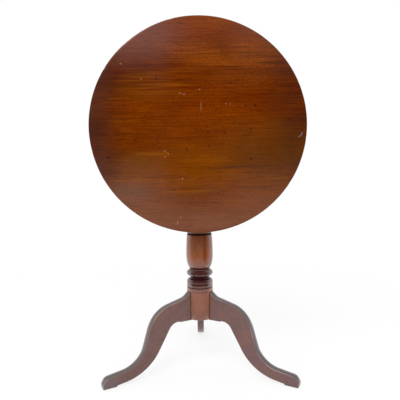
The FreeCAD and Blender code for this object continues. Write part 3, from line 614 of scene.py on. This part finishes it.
# %% [markdown]
# ## Age
# Long years of wax, dust and knocks lie over the polish. One group gives them for every piece:
# smears that make the polish duller in places, clouds where the colour has faded, and small dark
# specks where a knock has filled with wax. The specks are cells of a Voronoi texture, of which only
# a few are let through.

# %% Group for age
SPECK_CELLS = 24.0
FEW_CELLS = (0.7, 0.72)
age_inputs = {"Place": "Vector", "Speck Size": "Float"}
age_group, enter, leave = new_group("age", age_inputs, ["Smears", "Fading", "Specks"])
smears = cloud(age_group, enter["Place"], 14.0, 3.0, 0.5)
fading = cloud(age_group, enter["Place"], 6.5, 2.0, 0.5)
cell_sockets = {"Vector": enter["Place"], "Scale": SPECK_CELLS, "Randomness": 1.0}
cells = put(age_group, "TexVoronoi", cell_sockets).outputs
cell_number = put(age_group, "SeparateColor", {0: cells["Color"]}).outputs[0]
chosen = step(age_group, cell_number, *FEW_CELLS)
inside = sums(age_group, "DIVIDE", cells["Distance"], enter["Speck Size"])
specks = times(age_group, step(age_group, inside, 1.0, 0.55), chosen)
age_group.links.new(step(age_group, smears, 0.32, 0.7), leave["Smears"])
age_group.links.new(step(age_group, fading, 0.3, 0.7), leave["Fading"])
age_group.links.new(specks, leave["Specks"])
print("group:", age_group.name)

# %% [markdown]
# ## One mark at a time
# The face of the top has marks that anyone who knows this table would look for: pale scratches,
# dark dents, faint spots, streaks along the grain and a chip near the right edge. A painted picture
# could hold them, but a small node group is enough: it measures how far a point lies from a mark's
# middle, longer in one direction than in the other, and gives a mask.

# %% Group for one mark
mark_inputs = {"Place": "Vector", "Middle": "Vector", "Turn": "Float", "Size": "Vector"}
mark_group, enter, leave = new_group("one mark", mark_inputs, ["Mask"])
away = put(mark_group, "VectorMath", {0: enter["Place"], 1: enter["Middle"]}, operation="SUBTRACT").outputs[0]
turned = put(mark_group, "VectorRotate", {"Vector": away, "Axis": (0.0, 1.0, 0.0), "Angle": enter["Turn"]},
             rotation_type="AXIS_ANGLE").outputs[0]
scaled = put(mark_group, "VectorMath", {0: turned, 1: enter["Size"]}, operation="DIVIDE").outputs[0]
reach = put(mark_group, "VectorMath", {0: scaled}, operation="LENGTH").outputs["Value"]
mark_group.links.new(step(mark_group, reach, 1.0, 0.45), leave["Mask"])
print("group:", mark_group.name)

# %% [markdown]
# ## How a finish starts
# Every finish is a material with one Principled shader, and most need the same few things: a number
# kept in the mesh, the axes in the order of the grain, and a surface that is raised or sunk a
# little. Displacement could cut real dents, but dents this fine only change how light falls, so a
# Bump node is enough.

# %% Helpers for finishes
def new_finish(name):
    """A material with a Principled shader; gives back the material, its tree and that shader."""
    material = bpy.data.materials.new(name)
    material.use_nodes = True
    shader = material.node_tree.nodes["Principled BSDF"]
    return material, material.node_tree, shader


def stored(tree, name):
    """A number or place that a piece keeps for each of its points."""
    return put(tree, "Attribute", attribute_name=name).outputs


def swapped(tree, vector, order):
    """The same place with its axes in another order, so that the first runs along the grain."""
    parts = put(tree, "SeparateXYZ", {0: vector}).outputs
    return put(tree, "CombineXYZ", {i: parts[axis] for i, axis in enumerate(order)}).outputs[0]


def bump(tree, shader, height, depth, below=None):
    """Raise the surface by a height mask, in metres, on top of an earlier bump."""
    made = put(tree, "Bump", {"Strength": 1.0, "Distance": depth, "Height": height})
    if below is not None:
        tree.links.new(below, made.inputs["Normal"])
    tree.links.new(made.outputs[0], shader.inputs["Normal"])
    return made.outputs[0]


def sink(tree, shader, mask, depth, below=None):
    """Lower the surface by a mask, in metres, on top of an earlier bump."""
    return bump(tree, shader, times(tree, mask, -1.0), depth, below)


# %% [markdown]
# ## Finish of the top
# The face is polished and its colour changes in soft zones: orange-brown across the middle, redder
# above, smoky at both sides, and olive and grey-brown low down. A purple cast down the left side
# and a pale mauve haze along the upper left rim are painted reflections. Dark streaks, light hairs
# and a small mottle of the grain run through all of them. The zones could be painted on, but soft
# ovals in a list are easy to move and stay smooth at any size. The back never had polish, so it is
# dry and greyer. Both share one material, because they are one board, and the depth of a point in
# the board says which side it is on.

# %% Grain of the face
top_finish, tree, shader = new_finish("polished_top")
place = put(tree, "TexCoord").outputs["Object"]
axes = put(tree, "SeparateXYZ", {0: place}).outputs
grain = placed(tree, grain_group, {"Place": place})
age = placed(tree, age_group, {"Place": place, "Speck Size": 0.055})


def oval(middle, half_size, inner):
    """A soft oval on the face: 1 in the inner share of it, and 0 from its edge on."""
    (x, z), (half_x, half_z) = middle, half_size
    scaled = stretch(tree, place, (1 / half_x, 0.0, 1 / half_z))
    scaled_middle = (x / half_x, 0.0, z / half_z)
    away = put(tree, "VectorMath", {0: scaled, 1: scaled_middle}, operation="DISTANCE").outputs["Value"]
    return step(tree, away, 1.0, inner)


face_wood = mix(tree, grain["Figure"], (0.140, 0.018, 0.0004, 1.0), (0.270, 0.053, 0.0006, 1.0))
face_wood = tint(tree, face_wood, grain["Bands"], 0.5, (0.265, 0.066, 0.0008))
face_wood = tint(tree, face_wood, grain["Streaks"], 0.66, (0.064, 0.0090, 0.0004))
clouds = cloud(tree, stretch(tree, place, (4.5, 4.5, 9.0)), 1.0, 3.0, 0.55)
face_wood = tint(tree, face_wood, step(tree, clouds, 0.46, 0.66), 0.5, (0.060, 0.009, 0.0006))
warm = oval((0.05, 0.753846), (0.3125, 0.153846), 0.1)
face_wood = tint(tree, face_wood, warm, 0.45, (0.165, 0.019, 0.0004))
mottle = cloud(tree, stretch(tree, place, (190.0, 190.0, 300.0)), 1.0, 2.0, 0.6)
face_wood = tint(tree, face_wood, step(tree, mottle, 0.36, 0.66), 0.55, (0.085, 0.012, 0.0005))
hairs = cloud(tree, stretch(tree, place, (7.0, 380.0, 380.0)), 1.0, 2.0, 0.6)
face_wood = tint(tree, face_wood, step(tree, hairs, 0.44, 0.68), 0.2, (0.300, 0.064, 0.0008))
print("started:", top_finish.name)

# %% Zones of the face
FACE_ZONES = [  # middle, half size, inner share, strength, colour
    ((-0.17, 0.85), (0.125, 0.125), 0.2, 0.2, (0.050, 0.008, 0.0040)),
    ((0.1875, 0.635714), (0.25, 0.142857), 0.2, 0.5, (0.135, 0.044, 0.0050)),
    ((-0.168182, 0.601111), (0.109091, 0.066667), 0.166667, 0.55, (0.135, 0.050, 0.0090)),
    ((-0.193077, 0.534615), (0.092308, 0.046154), 0.166667, 0.5, (0.120, 0.062, 0.038)),
    ((-0.025, 0.594444), (0.208333, 0.111111), 0.1, 0.45, (0.265, 0.068, 0.0010)),
]
smoke = cloud(tree, stretch(tree, place, (7.0, 7.0, 16.0)), 1.0, 3.0, 0.55)
smoke = step(tree, smoke, 0.34, 0.62, 0.55, 1.0)
smoke = times(tree, smoke, step(tree, apart(tree, axes["X"], -0.01), 0.15, 0.30))
face_wood = tint(tree, face_wood, smoke, 0.8, (0.040, 0.008, 0.0050))
for middle, half_size, inner, strength, colour in FACE_ZONES:
    face_wood = tint(tree, face_wood, oval(middle, half_size, inner), strength, colour)
# Painted reflection: a purple cast down the left side of the face.
left_painted_haze = step(tree, axes["X"], -0.21, -0.305)
left_painted_haze = times(tree, left_painted_haze, step(tree, age["Fading"], 0.0, 1.0, 0.35, 1.0))
face_wood = tint(tree, face_wood, left_painted_haze, 0.7, (0.080, 0.030, 0.018))
head = step(tree, axes["Z"], 0.90, 0.99)
face_wood = tint(tree, face_wood, head, 0.25, (0.270, 0.055, 0.0100))
foot = step(tree, axes["Z"], 0.62, 0.48)
face_wood = tint(tree, face_wood, foot, 0.4, (0.185, 0.052, 0.0060))
# Painted reflection: a pale mauve haze along the upper left rim.
rim_painted_haze = oval((-0.158182, 0.97), (0.2, 0.122222), 0.136364)
rim_painted_haze = times(tree, rim_painted_haze, step(tree, age["Smears"], 0.0, 1.0, 0.6, 1.0))
face_wood = tint(tree, face_wood, rim_painted_haze, 0.45, (0.140, 0.060, 0.058))
face_wood = tint(tree, face_wood, grain["Pores"], 0.45, (0.045, 0.006, 0.0005))
face_wood = tint(tree, face_wood, age["Specks"], 0.7, (0.02, 0.006, 0.004))
print("zones in the list:", len(FACE_ZONES))

# %% Marks on the face
PALE_MARKS = [
    ((-0.0480, 0.8065), -6, (0.0080, 0.0009)), ((-0.0370, 0.8035), 8, (0.0050, 0.0012)),
    ((0.0062, 0.8160), 10, (0.0036, 0.0013)), ((0.0098, 0.7690), 89, (0.0190, 0.0006)),
    ((0.0790, 0.7755), 2, (0.0036, 0.0010)), ((0.0900, 0.7745), 2, (0.0030, 0.0009)),
    ((-0.2110, 0.8890), -8, (0.0040, 0.0011)), ((-0.1560, 0.8470), 60, (0.0026, 0.0014)),
    ((-0.0930, 0.6470), 12, (0.0060, 0.0008)), ((-0.0840, 0.6400), -60, (0.0050, 0.0008)),
    ((-0.0920, 0.6310), 20, (0.0060, 0.0008)), ((-0.0447, 0.5688), 70, (0.0030, 0.0020)),
    ((-0.0600, 0.4460), 80, (0.0090, 0.0008)), ((-0.0508, 0.4605), 85, (0.0050, 0.0006)),
]
DARK_MARKS = [
    ((-0.1145, 0.8535), 0, (0.0040, 0.0028)), ((-0.1125, 0.8455), 20, (0.0048, 0.0030)),
    ((0.0930, 0.8330), 15, (0.0040, 0.0030)),
    ((0.1600, 0.7700), -30, (0.0055, 0.0035)), ((0.0285, 0.6980), 10, (0.0045, 0.0030)),
    ((0.1345, 0.7693), 0, (0.0045, 0.0032)), ((-0.2515, 0.6312), 0, (0.0055, 0.0045)),
    ((0.1480, 0.6230), 0, (0.0042, 0.0035)), ((-0.0310, 0.6515), 80, (0.0045, 0.0025)),
    ((0.0550, 0.5270), 30, (0.0035, 0.0025)), ((-0.0173, 0.5127), 0, (0.0030, 0.0025)),
    ((-0.1125, 0.6760), 75, (0.0150, 0.0011)), ((0.1150, 0.6010), 4, (0.1100, 0.0007)),
    ((0.0310, 0.6600), 70, (0.0050, 0.0020)), ((0.1480, 0.7060), 0, (0.0045, 0.0030)),
]
FAINT_SPOTS = [
    ((0.2565, 0.7325), 0, (0.0080, 0.0065)), ((0.2166, 0.8325), 10, (0.0070, 0.0050)),
    ((0.0528, 0.7604), 0, (0.0055, 0.0045)), ((0.0759, 0.6953), 0, (0.0060, 0.0045)),
    ((0.0248, 0.7136), 0, (0.0050, 0.0040)), ((-0.1740, 0.6780), 60, (0.0060, 0.0040)),
]
LIGHT_STREAKS = [
    ((-0.2210, 0.7950), 1, (0.0500, 0.0018)), ((-0.0740, 0.8290), 0, (0.0600, 0.0060)),
    ((-0.1300, 0.6400), 1, (0.0700, 0.0070)), ((-0.0190, 0.5340), 0, (0.1100, 0.0080)),
    ((-0.1890, 0.5650), 1, (0.0700, 0.0080)), ((0.0300, 0.6180), 0, (0.0900, 0.0160)),
    ((0.0600, 0.8850), 0, (0.0800, 0.0080)), ((-0.1400, 0.8300), 0, (0.1200, 0.0450)),
]
DARK_SMEARS = [
    ((0.1100, 0.6000), 1, (0.1400, 0.0070)), ((-0.2500, 0.5900), 0, (0.0400, 0.0120)),
    ((-0.2400, 0.8300), -4, (0.0700, 0.0090)), ((0.2300, 0.8900), 3, (0.0800, 0.0080)),
    ((-0.0900, 0.5750), 0, (0.0900, 0.0070)),
]
CHIP = [((0.2890, 0.6890), 65, (0.0085, 0.0034)), ((0.2830, 0.6830), 10, (0.0060, 0.0024))]
MARK_DEPTH = 0.004


def marks_mask(marks):
    """The masks of several marks, joined."""
    joined = None
    for (x, z), turn, (length, width) in marks:
        size = (length, MARK_DEPTH, width)
        sockets = {"Place": place, "Middle": (x, FACE_Y, z), "Turn": math.radians(turn), "Size": size}
        mask = placed(tree, mark_group, sockets)["Mask"]
        joined = mask if joined is None else sums(tree, "MAXIMUM", joined, mask)
    return joined


broken = step(tree, sums(tree, "SUBTRACT", grain["Bands"], grain["Streaks"]), -0.4, 0.7, 0.04, 0.28)
face_wood = tint(tree, face_wood, marks_mask(LIGHT_STREAKS), broken, (0.33, 0.095, 0.004))
face_wood = tint(tree, face_wood, marks_mask(DARK_SMEARS), 0.35, (0.060, 0.014, 0.002))
face_wood = tint(tree, face_wood, marks_mask(FAINT_SPOTS), 0.5, (0.050, 0.006, 0.001))
dark = marks_mask(DARK_MARKS)
face_wood = tint(tree, face_wood, dark, 0.85, (0.018, 0.006, 0.005))
face_wood = tint(tree, face_wood, marks_mask(PALE_MARKS), 0.7, (0.48, 0.30, 0.18))
face_wood = tint(tree, face_wood, marks_mask(CHIP), 0.8, (0.12, 0.125, 0.13))
print("pale marks:", len(PALE_MARKS), "dark marks:", len(DARK_MARKS))

# %% Rim and back of the top
rim = stored(tree, "arris")["Fac"]
# Painted shade: from just behind the face, the side of the board is painted nearly black, for the dark line
# round the rim.
edge = step(tree, axes["Y"], FACE_Y + 0.001, FACE_Y + 0.004)
side_wood = mix(tree, edge, face_wood, (0.045, 0.014, 0.007, 1.0))
side_wood = tint(tree, side_wood, step(tree, rim, 0.3, 0.6), 0.35, (0.24, 0.11, 0.055))
# Painted highlight: where the arris is rounded most, above all at the upper left, the rim is painted nearly
# white.
side_wood = tint(tree, side_wood, step(tree, rim, 0.6, 0.95), 0.9, (0.47, 0.38, 0.34))
back_wood = mix(tree, grain["Figure"], (0.085, 0.036, 0.018, 1.0), (0.185, 0.086, 0.042, 1.0))
back_wood = tint(tree, back_wood, grain["Bands"], 0.4, (0.215, 0.105, 0.055))
back_wood = tint(tree, back_wood, grain["Streaks"], 0.6, (0.060, 0.027, 0.016))
back_wood = tint(tree, back_wood, age["Fading"], 0.25, (0.19, 0.125, 0.085))
back_wood = tint(tree, back_wood, grain["Pores"], 0.5, (0.035, 0.016, 0.010))
behind = step(tree, axes["Y"], BACK_Y - 0.006, BACK_Y - 0.003)
tree.links.new(mix(tree, behind, side_wood, back_wood), shader.inputs["Base Color"])
polish = step(tree, age["Smears"], 0.0, 1.0, 0.07, 0.14)
dry = times(tree, behind, 0.72)
tree.links.new(sums(tree, "MAXIMUM", polish, dry), shader.inputs["Roughness"])
dents = sums(tree, "MAXIMUM", dark, age["Specks"])
normal = sink(tree, shader, grain["Streaks"], 0.000012)
sink(tree, shader, dents, 0.0001, normal)
top.data.materials.append(top_finish)
print("finish:", top_finish.name)

# %% [markdown]
# ## Finish of the column
# The vase and the rings are the same timber, with the grain running up the column. The rings and
# their necks are painted much darker as shade, the necks, the groove over the vase and the recess
# over the drum are painted nearly black as shade, and the column just under the top is painted
# darker as shade. Thin lines by the rings are painted pale as highlights, the drum and the foot of
# the vase carry painted reflections, the right side of the drum a painted highlight, and one line is
# scribed round the drum. All of these lie at known heights of the turning, so steps over the height
# place them. The polish shows mostly at glancing angles: a Layer Weight node raises a coat there,
# most of all on the rings, and the plain gloss under it is kept low.

# %% Wood of the column
turned_finish, tree, shader = new_finish("turned_wood")
place = put(tree, "TexCoord").outputs["Object"]
axes = put(tree, "SeparateXYZ", {0: place}).outputs
grain = placed(tree, grain_group, {"Place": swapped(tree, place, ("Z", "X", "Y"))})
age = placed(tree, age_group, {"Place": place, "Speck Size": 0.03})


def between(low, low_full, high_full, high):
    """1 between two heights, with soft ends."""
    return times(tree, step(tree, axes["Z"], low, low_full), step(tree, axes["Z"], high, high_full))


wood = mix(tree, grain["Figure"], (0.295, 0.088, 0.036, 1.0), (0.395, 0.136, 0.052, 1.0))
wood = tint(tree, wood, grain["Bands"], 0.5, (0.330, 0.086, 0.022))
wood = tint(tree, wood, grain["Streaks"], 0.5, (0.180, 0.048, 0.020))
wood = tint(tree, wood, age["Fading"], 0.25, (0.25, 0.080, 0.030))
drum = step(tree, axes["Z"], 0.248, 0.243)
wood = tint(tree, wood, drum, 0.6, (0.360, 0.105, 0.026))
# Painted reflection: the drum is painted mauve where it faces the front and the back, for the floor mirrored
# in it.
drum_front_painted_reflection = times(tree, drum, step(tree, apart(tree, axes["X"], 0.0), 0.030, 0.020))
wood = tint(tree, wood, drum_front_painted_reflection, 0.75, (0.275, 0.128, 0.104))
# Painted highlight: a bright orange strip down the right side of the drum.
drum_right_painted_highlight = times(tree, drum, step(tree, axes["X"], 0.020, 0.028))
wood = tint(tree, wood, drum_right_painted_highlight, 0.75, (0.520, 0.135, 0.034))
drum_head = times(tree, drum, step(tree, axes["Z"], 0.222, 0.234))
wood = tint(tree, wood, drum_head, 0.7, (0.200, 0.104, 0.094))
# Painted reflection: the lower part of the vase is painted paler and mauve, for the floor mirrored in it.
vase_foot_painted_reflection = times(tree, step(tree, axes["Z"], 0.345, 0.302), sums(tree, "SUBTRACT", 1.0, drum))
wood = tint(tree, wood, vase_foot_painted_reflection, 0.7, (0.245, 0.140, 0.122))
red_band = step(tree, apart(tree, axes["X"], 0.0155), 0.0075, 0.003)
red_band = times(tree, red_band, step(tree, axes["Z"], 0.312, 0.33))
wood = tint(tree, wood, red_band, 0.7, (0.235, 0.036, 0.002))
# Painted shade: the rings and their necks are painted much darker than the vase of the same timber.
ring_zone = between(0.243, 0.250, 0.296, 0.304)
wood = tint(tree, wood, ring_zone, 0.95, (0.034, 0.0035, 0.0035))
wood = tint(tree, wood, step(tree, axes["Z"], 0.345, 0.395), 0.45, (0.130, 0.026, 0.006))
# Painted shade: above the groove, just under the lower edge of the top, the column is painted darker.
wood = tint(tree, wood, step(tree, axes["Z"], 0.4040, 0.4060), 0.5, (0.060, 0.018, 0.010))
print("started:", turned_finish.name)

# %% Painted shade, painted highlights and marks on the column
SCRIBE_Z = 0.2285
# Heights of thin pale lines painted as highlights round the rings.
PAINTED_HIGHLIGHT_HEIGHTS = (0.2944, 0.2805, 0.2562, 0.2463)
RECESS_SHADE_Z = 0.2403
hollow = stored(tree, "hollow")["Fac"]
proud = stored(tree, "proud")["Fac"]
wood = tint(tree, wood, grain["Pores"], 0.35, (0.05, 0.016, 0.008))
wood = tint(tree, wood, proud, 0.1, (0.17, 0.07, 0.05))
# Painted shade: the necks and other sunk parts are painted dark red-black.
wood = tint(tree, wood, step(tree, hollow, 0.08, 0.6), 0.9, (0.042, 0.003, 0.003))
# Painted shade: the groove over the vase is painted nearly black.
groove = between(0.3994, 0.4004, 0.4052, 0.4062)
wood = mix(tree, groove, wood, (0.006, 0.004, 0.004, 1.0))
scribed = step(tree, apart(tree, axes["Z"], SCRIBE_Z), 0.0009, 0.0004)
wood = tint(tree, wood, scribed, 0.6, (0.06, 0.02, 0.012))
# Painted highlights: thin pale lines round the rings and at the drum.
for height in PAINTED_HIGHLIGHT_HEIGHTS:
    pale_mark = step(tree, apart(tree, axes["Z"], height), 0.0018, 0.0008)
    wood = tint(tree, wood, pale_mark, 0.5, (0.23, 0.125, 0.112))
# Painted shade: a dark line in the recess over the drum.
recess_shade = step(tree, apart(tree, axes["Z"], RECESS_SHADE_Z), 0.0018, 0.0009)
wood = tint(tree, wood, recess_shade, 0.85, (0.030, 0.008, 0.006))
wood = tint(tree, wood, age["Specks"], 0.6, (0.03, 0.01, 0.007))
tree.links.new(wood, shader.inputs["Base Color"])
print("rubbed lines:", len(PAINTED_HIGHLIGHT_HEIGHTS))

# %% Shine of the column
polish = step(tree, age["Smears"], 0.0, 1.0, 0.1, 0.18)
dull_groove = times(tree, groove, 0.7)
tree.links.new(sums(tree, "MAXIMUM", polish, dull_groove), shader.inputs["Roughness"])
facing = put(tree, "LayerWeight", {"Blend": 0.5}).outputs["Facing"]
necks_and_groove = sums(tree, "MAXIMUM", hollow, groove)
sheen = times(tree, step(tree, facing, 0.18, 0.40), step(tree, necks_and_groove, 0.5, 0.1))
sheen = times(tree, sheen, step(tree, ring_zone, 0.0, 1.0, 0.5, 1.0))
tree.links.new(sheen, shader.inputs["Coat Weight"])
shader.inputs["Coat Roughness"].default_value = 0.07
shader.inputs["Coat IOR"].default_value = 2.1
shader.inputs["Specular IOR Level"].default_value = 0.2
normal = sink(tree, shader, grain["Streaks"], 0.00006)
sink(tree, shader, scribed, 0.0004, normal)
column.data.materials.append(turned_finish)
print("finish:", turned_finish.name)

# %% [markdown]
# ## Finish of the legs
# The legs have the dullest polish, with a mauve cast on their flat sides, a rubbed, paler arris and
# a greyer upper edge, which is a painted reflection of the pale room. The grain runs straight
# through each board, from the column down to the foot.
# The feet are greyer from wet floors, the left one is dusty too, and old wax lies dark in the joint
# with the column. The mesh knows where its arris and upper edge are, so nothing has to be painted
# by hand.

# %% Leg wood
leg_finish, tree, shader = new_finish("leg_wood")
place = put(tree, "TexCoord").outputs["Object"]
axes = put(tree, "SeparateXYZ", {0: place}).outputs
grain = placed(tree, grain_group, {"Place": stored(tree, "board")["Vector"]})
age = placed(tree, age_group, {"Place": place, "Speck Size": 0.04})
wood = mix(tree, grain["Figure"], (0.142, 0.064, 0.052, 1.0), (0.198, 0.092, 0.076, 1.0))
wood = tint(tree, wood, grain["Bands"], 0.3, (0.130, 0.060, 0.048))
wood = tint(tree, wood, age["Fading"], 0.6, (0.150, 0.080, 0.098))
wood = tint(tree, wood, step(tree, age["Smears"], 0.5, 0.9), 0.55, (0.240, 0.094, 0.060))
wood = tint(tree, wood, grain["Streaks"], 0.4, (0.105, 0.046, 0.038))
mottle = cloud(tree, place, 210.0, 2.0, 0.6)
wood = tint(tree, wood, step(tree, mottle, 0.42, 0.66), 0.35, (0.235, 0.120, 0.100))
wood = tint(tree, wood, grain["Pores"], 0.25, (0.05, 0.02, 0.014))
print("started:", leg_finish.name)

# %% Wear and painted reflection on the legs
feet = step(tree, axes["Z"], 0.04, 0.0)
wood = tint(tree, wood, feet, 0.4, (0.135, 0.085, 0.082))
dusty = step(tree, axes["X"], -0.20, -0.27)
wood = tint(tree, wood, dusty, 0.55, (0.165, 0.128, 0.140))
crest = stored(tree, "crest")["Fac"]
# Painted reflection: the upper edge, which faces up, is painted grey, as if the pale room showed in it.
wood = tint(tree, wood, crest, 0.8, (0.070, 0.062, 0.062))
pale_mark = times(tree, stored(tree, "arris")["Fac"], step(tree, age["Smears"], 0.2, 0.9, 0.2, 0.8))
wood = mix(tree, pale_mark, wood, (0.36, 0.31, 0.29, 1.0))
flat_place = stretch(tree, place, (1.0, 1.0, 0.0))
from_axis = put(tree, "VectorMath", {0: flat_place}, operation="LENGTH").outputs["Value"]
wood = mix(tree, step(tree, from_axis, 0.0430, 0.0408), wood, (0.014, 0.005, 0.004, 1.0))
wood = tint(tree, wood, age["Specks"], 0.6, (0.035, 0.012, 0.009))
tree.links.new(wood, shader.inputs["Base Color"])
tree.links.new(step(tree, age["Smears"], 0.0, 1.0, 0.15, 0.24), shader.inputs["Roughness"])
facing = put(tree, "LayerWeight", {"Blend": 0.5}).outputs["Facing"]
sheen = times(tree, step(tree, facing, 0.2, 0.7, 0.0, 0.6), crest)
tree.links.new(sheen, shader.inputs["Coat Weight"])
shader.inputs["Coat Roughness"].default_value = 0.12
sink(tree, shader, grain["Streaks"], 0.00005)
for leg in legs:
    leg.data.materials.append(leg_finish)
print("finish:", leg_finish.name)


# %% [markdown]
# ## Wood that nobody polished
# The block, the bearers, the wedge and the pins are bare wood, seen only from behind. They share
# one recipe with different grain directions, so a function makes them.

# %% Bare wood
def bare_wood(name, order, dark_tone, light_tone):
    material, tree, shader = new_finish(name)
    place = put(tree, "TexCoord").outputs["Object"]
    grain = placed(tree, grain_group, {"Place": swapped(tree, place, order)})
    age = placed(tree, age_group, {"Place": place, "Speck Size": 0.05})
    wood = mix(tree, grain["Figure"], (*dark_tone, 1.0), (*light_tone, 1.0))
    wood = tint(tree, wood, grain["Bands"], 0.35, dark_tone)
    wood = tint(tree, wood, grain["Streaks"], 0.6, (0.06, 0.028, 0.016))
    wood = tint(tree, wood, age["Fading"], 0.3, (0.21, 0.14, 0.095))
    wood = tint(tree, wood, grain["Pores"], 0.4, (0.05, 0.022, 0.013))
    wood = tint(tree, wood, age["Specks"], 0.6, (0.03, 0.014, 0.009))
    tree.links.new(wood, shader.inputs["Base Color"])
    tree.links.new(step(tree, age["Smears"], 0.0, 1.0, 0.55, 0.8), shader.inputs["Roughness"])
    normal = sink(tree, shader, grain["Streaks"], 0.00025)
    sink(tree, shader, grain["Pores"], 0.0002, normal)
    return material


def dress(material, *names):
    """Give a finish to measured nodes."""
    for name in names:
        node = nodes[name]
        node.data.materials.clear()
        node.data.materials.append(material)


ALONG_X = ("X", "Y", "Z")
ALONG_Z = ("Z", "X", "Y")
dress(bare_wood("block_wood", ALONG_X, (0.10, 0.045, 0.025), (0.17, 0.08, 0.042)), "block")
dress(bare_wood("bearer_wood", ALONG_Z, (0.085, 0.038, 0.022), (0.15, 0.07, 0.038)),
      "bearer_left", "bearer_right")
dress(bare_wood("wedge_wood", ALONG_Z, (0.13, 0.07, 0.04), (0.22, 0.12, 0.07)), "tenon_wedge")
dress(bare_wood("pin_wood", ALONG_X, (0.07, 0.032, 0.018), (0.12, 0.055, 0.03)),
      "pivot_pin_left", "pivot_pin_right")
print("bare wood on the block, the bearers, the wedge and the pins")


# %% [markdown]
# ## Metal
# The catch and its keep are old brass, brown under its film and brighter where the film is thin.
# The brace and the large screws are dark iron with a bloom of rust, and the spring is blued steel.
# All three are two tones with a patchy film between them, so one function makes them from different
# tones.

# %% Metals
FILM_EDGE = 0.18


def old_metal(name, clean, tarnish, cover, roughness_low, roughness_high):
    """Bare metal under a patchy film that is duller and darker."""
    material, tree, shader = new_finish(name)
    place = put(tree, "TexCoord").outputs["Object"]
    film = cloud(tree, place, 55.0, 4.0, 0.55, 0.4)
    film = step(tree, film, cover - FILM_EDGE, cover + FILM_EDGE)
    scratches = cloud(tree, stretch(tree, place, (900.0, 900.0, 60.0)), 1.0, 2.0, 0.5)
    colour = mix(tree, film, (*tarnish, 1.0), (*clean, 1.0))
    colour = tint(tree, colour, step(tree, scratches, 0.55, 0.75), 0.3, clean)
    tree.links.new(colour, shader.inputs["Base Color"])
    tree.links.new(step(tree, film, 0.0, 1.0, roughness_high, roughness_low), shader.inputs["Roughness"])
    tree.links.new(step(tree, film, 0.0, 0.6, 0.65, 1.0), shader.inputs["Metallic"])
    normal = bump(tree, shader, film, 0.00006)
    bump(tree, shader, scratches, 0.00002, normal)
    return material


dress(old_metal("old_brass", (0.44, 0.29, 0.12), (0.20, 0.118, 0.048), 0.52, 0.28, 0.5),
      "strike_plate", "strike_screws", "catch_case", "catch_screws", "catch_bolt", "catch_knob")
dress(old_metal("dark_iron", (0.13, 0.12, 0.115), (0.075, 0.042, 0.028), 0.52, 0.42, 0.75),
      "spider_plate", "spider_screws", "bearer_screws")
dress(old_metal("blued_spring", (0.16, 0.17, 0.20), (0.09, 0.075, 0.065), 0.45, 0.3, 0.5), "catch_spring")
print("brass, iron and spring steel")

# %% [markdown]
# ## Last look
# The dressed table has to stay inside the measured box. The last step brings the scene up to date.

# %% Bring the scene up to date
bpy.context.view_layer.update()
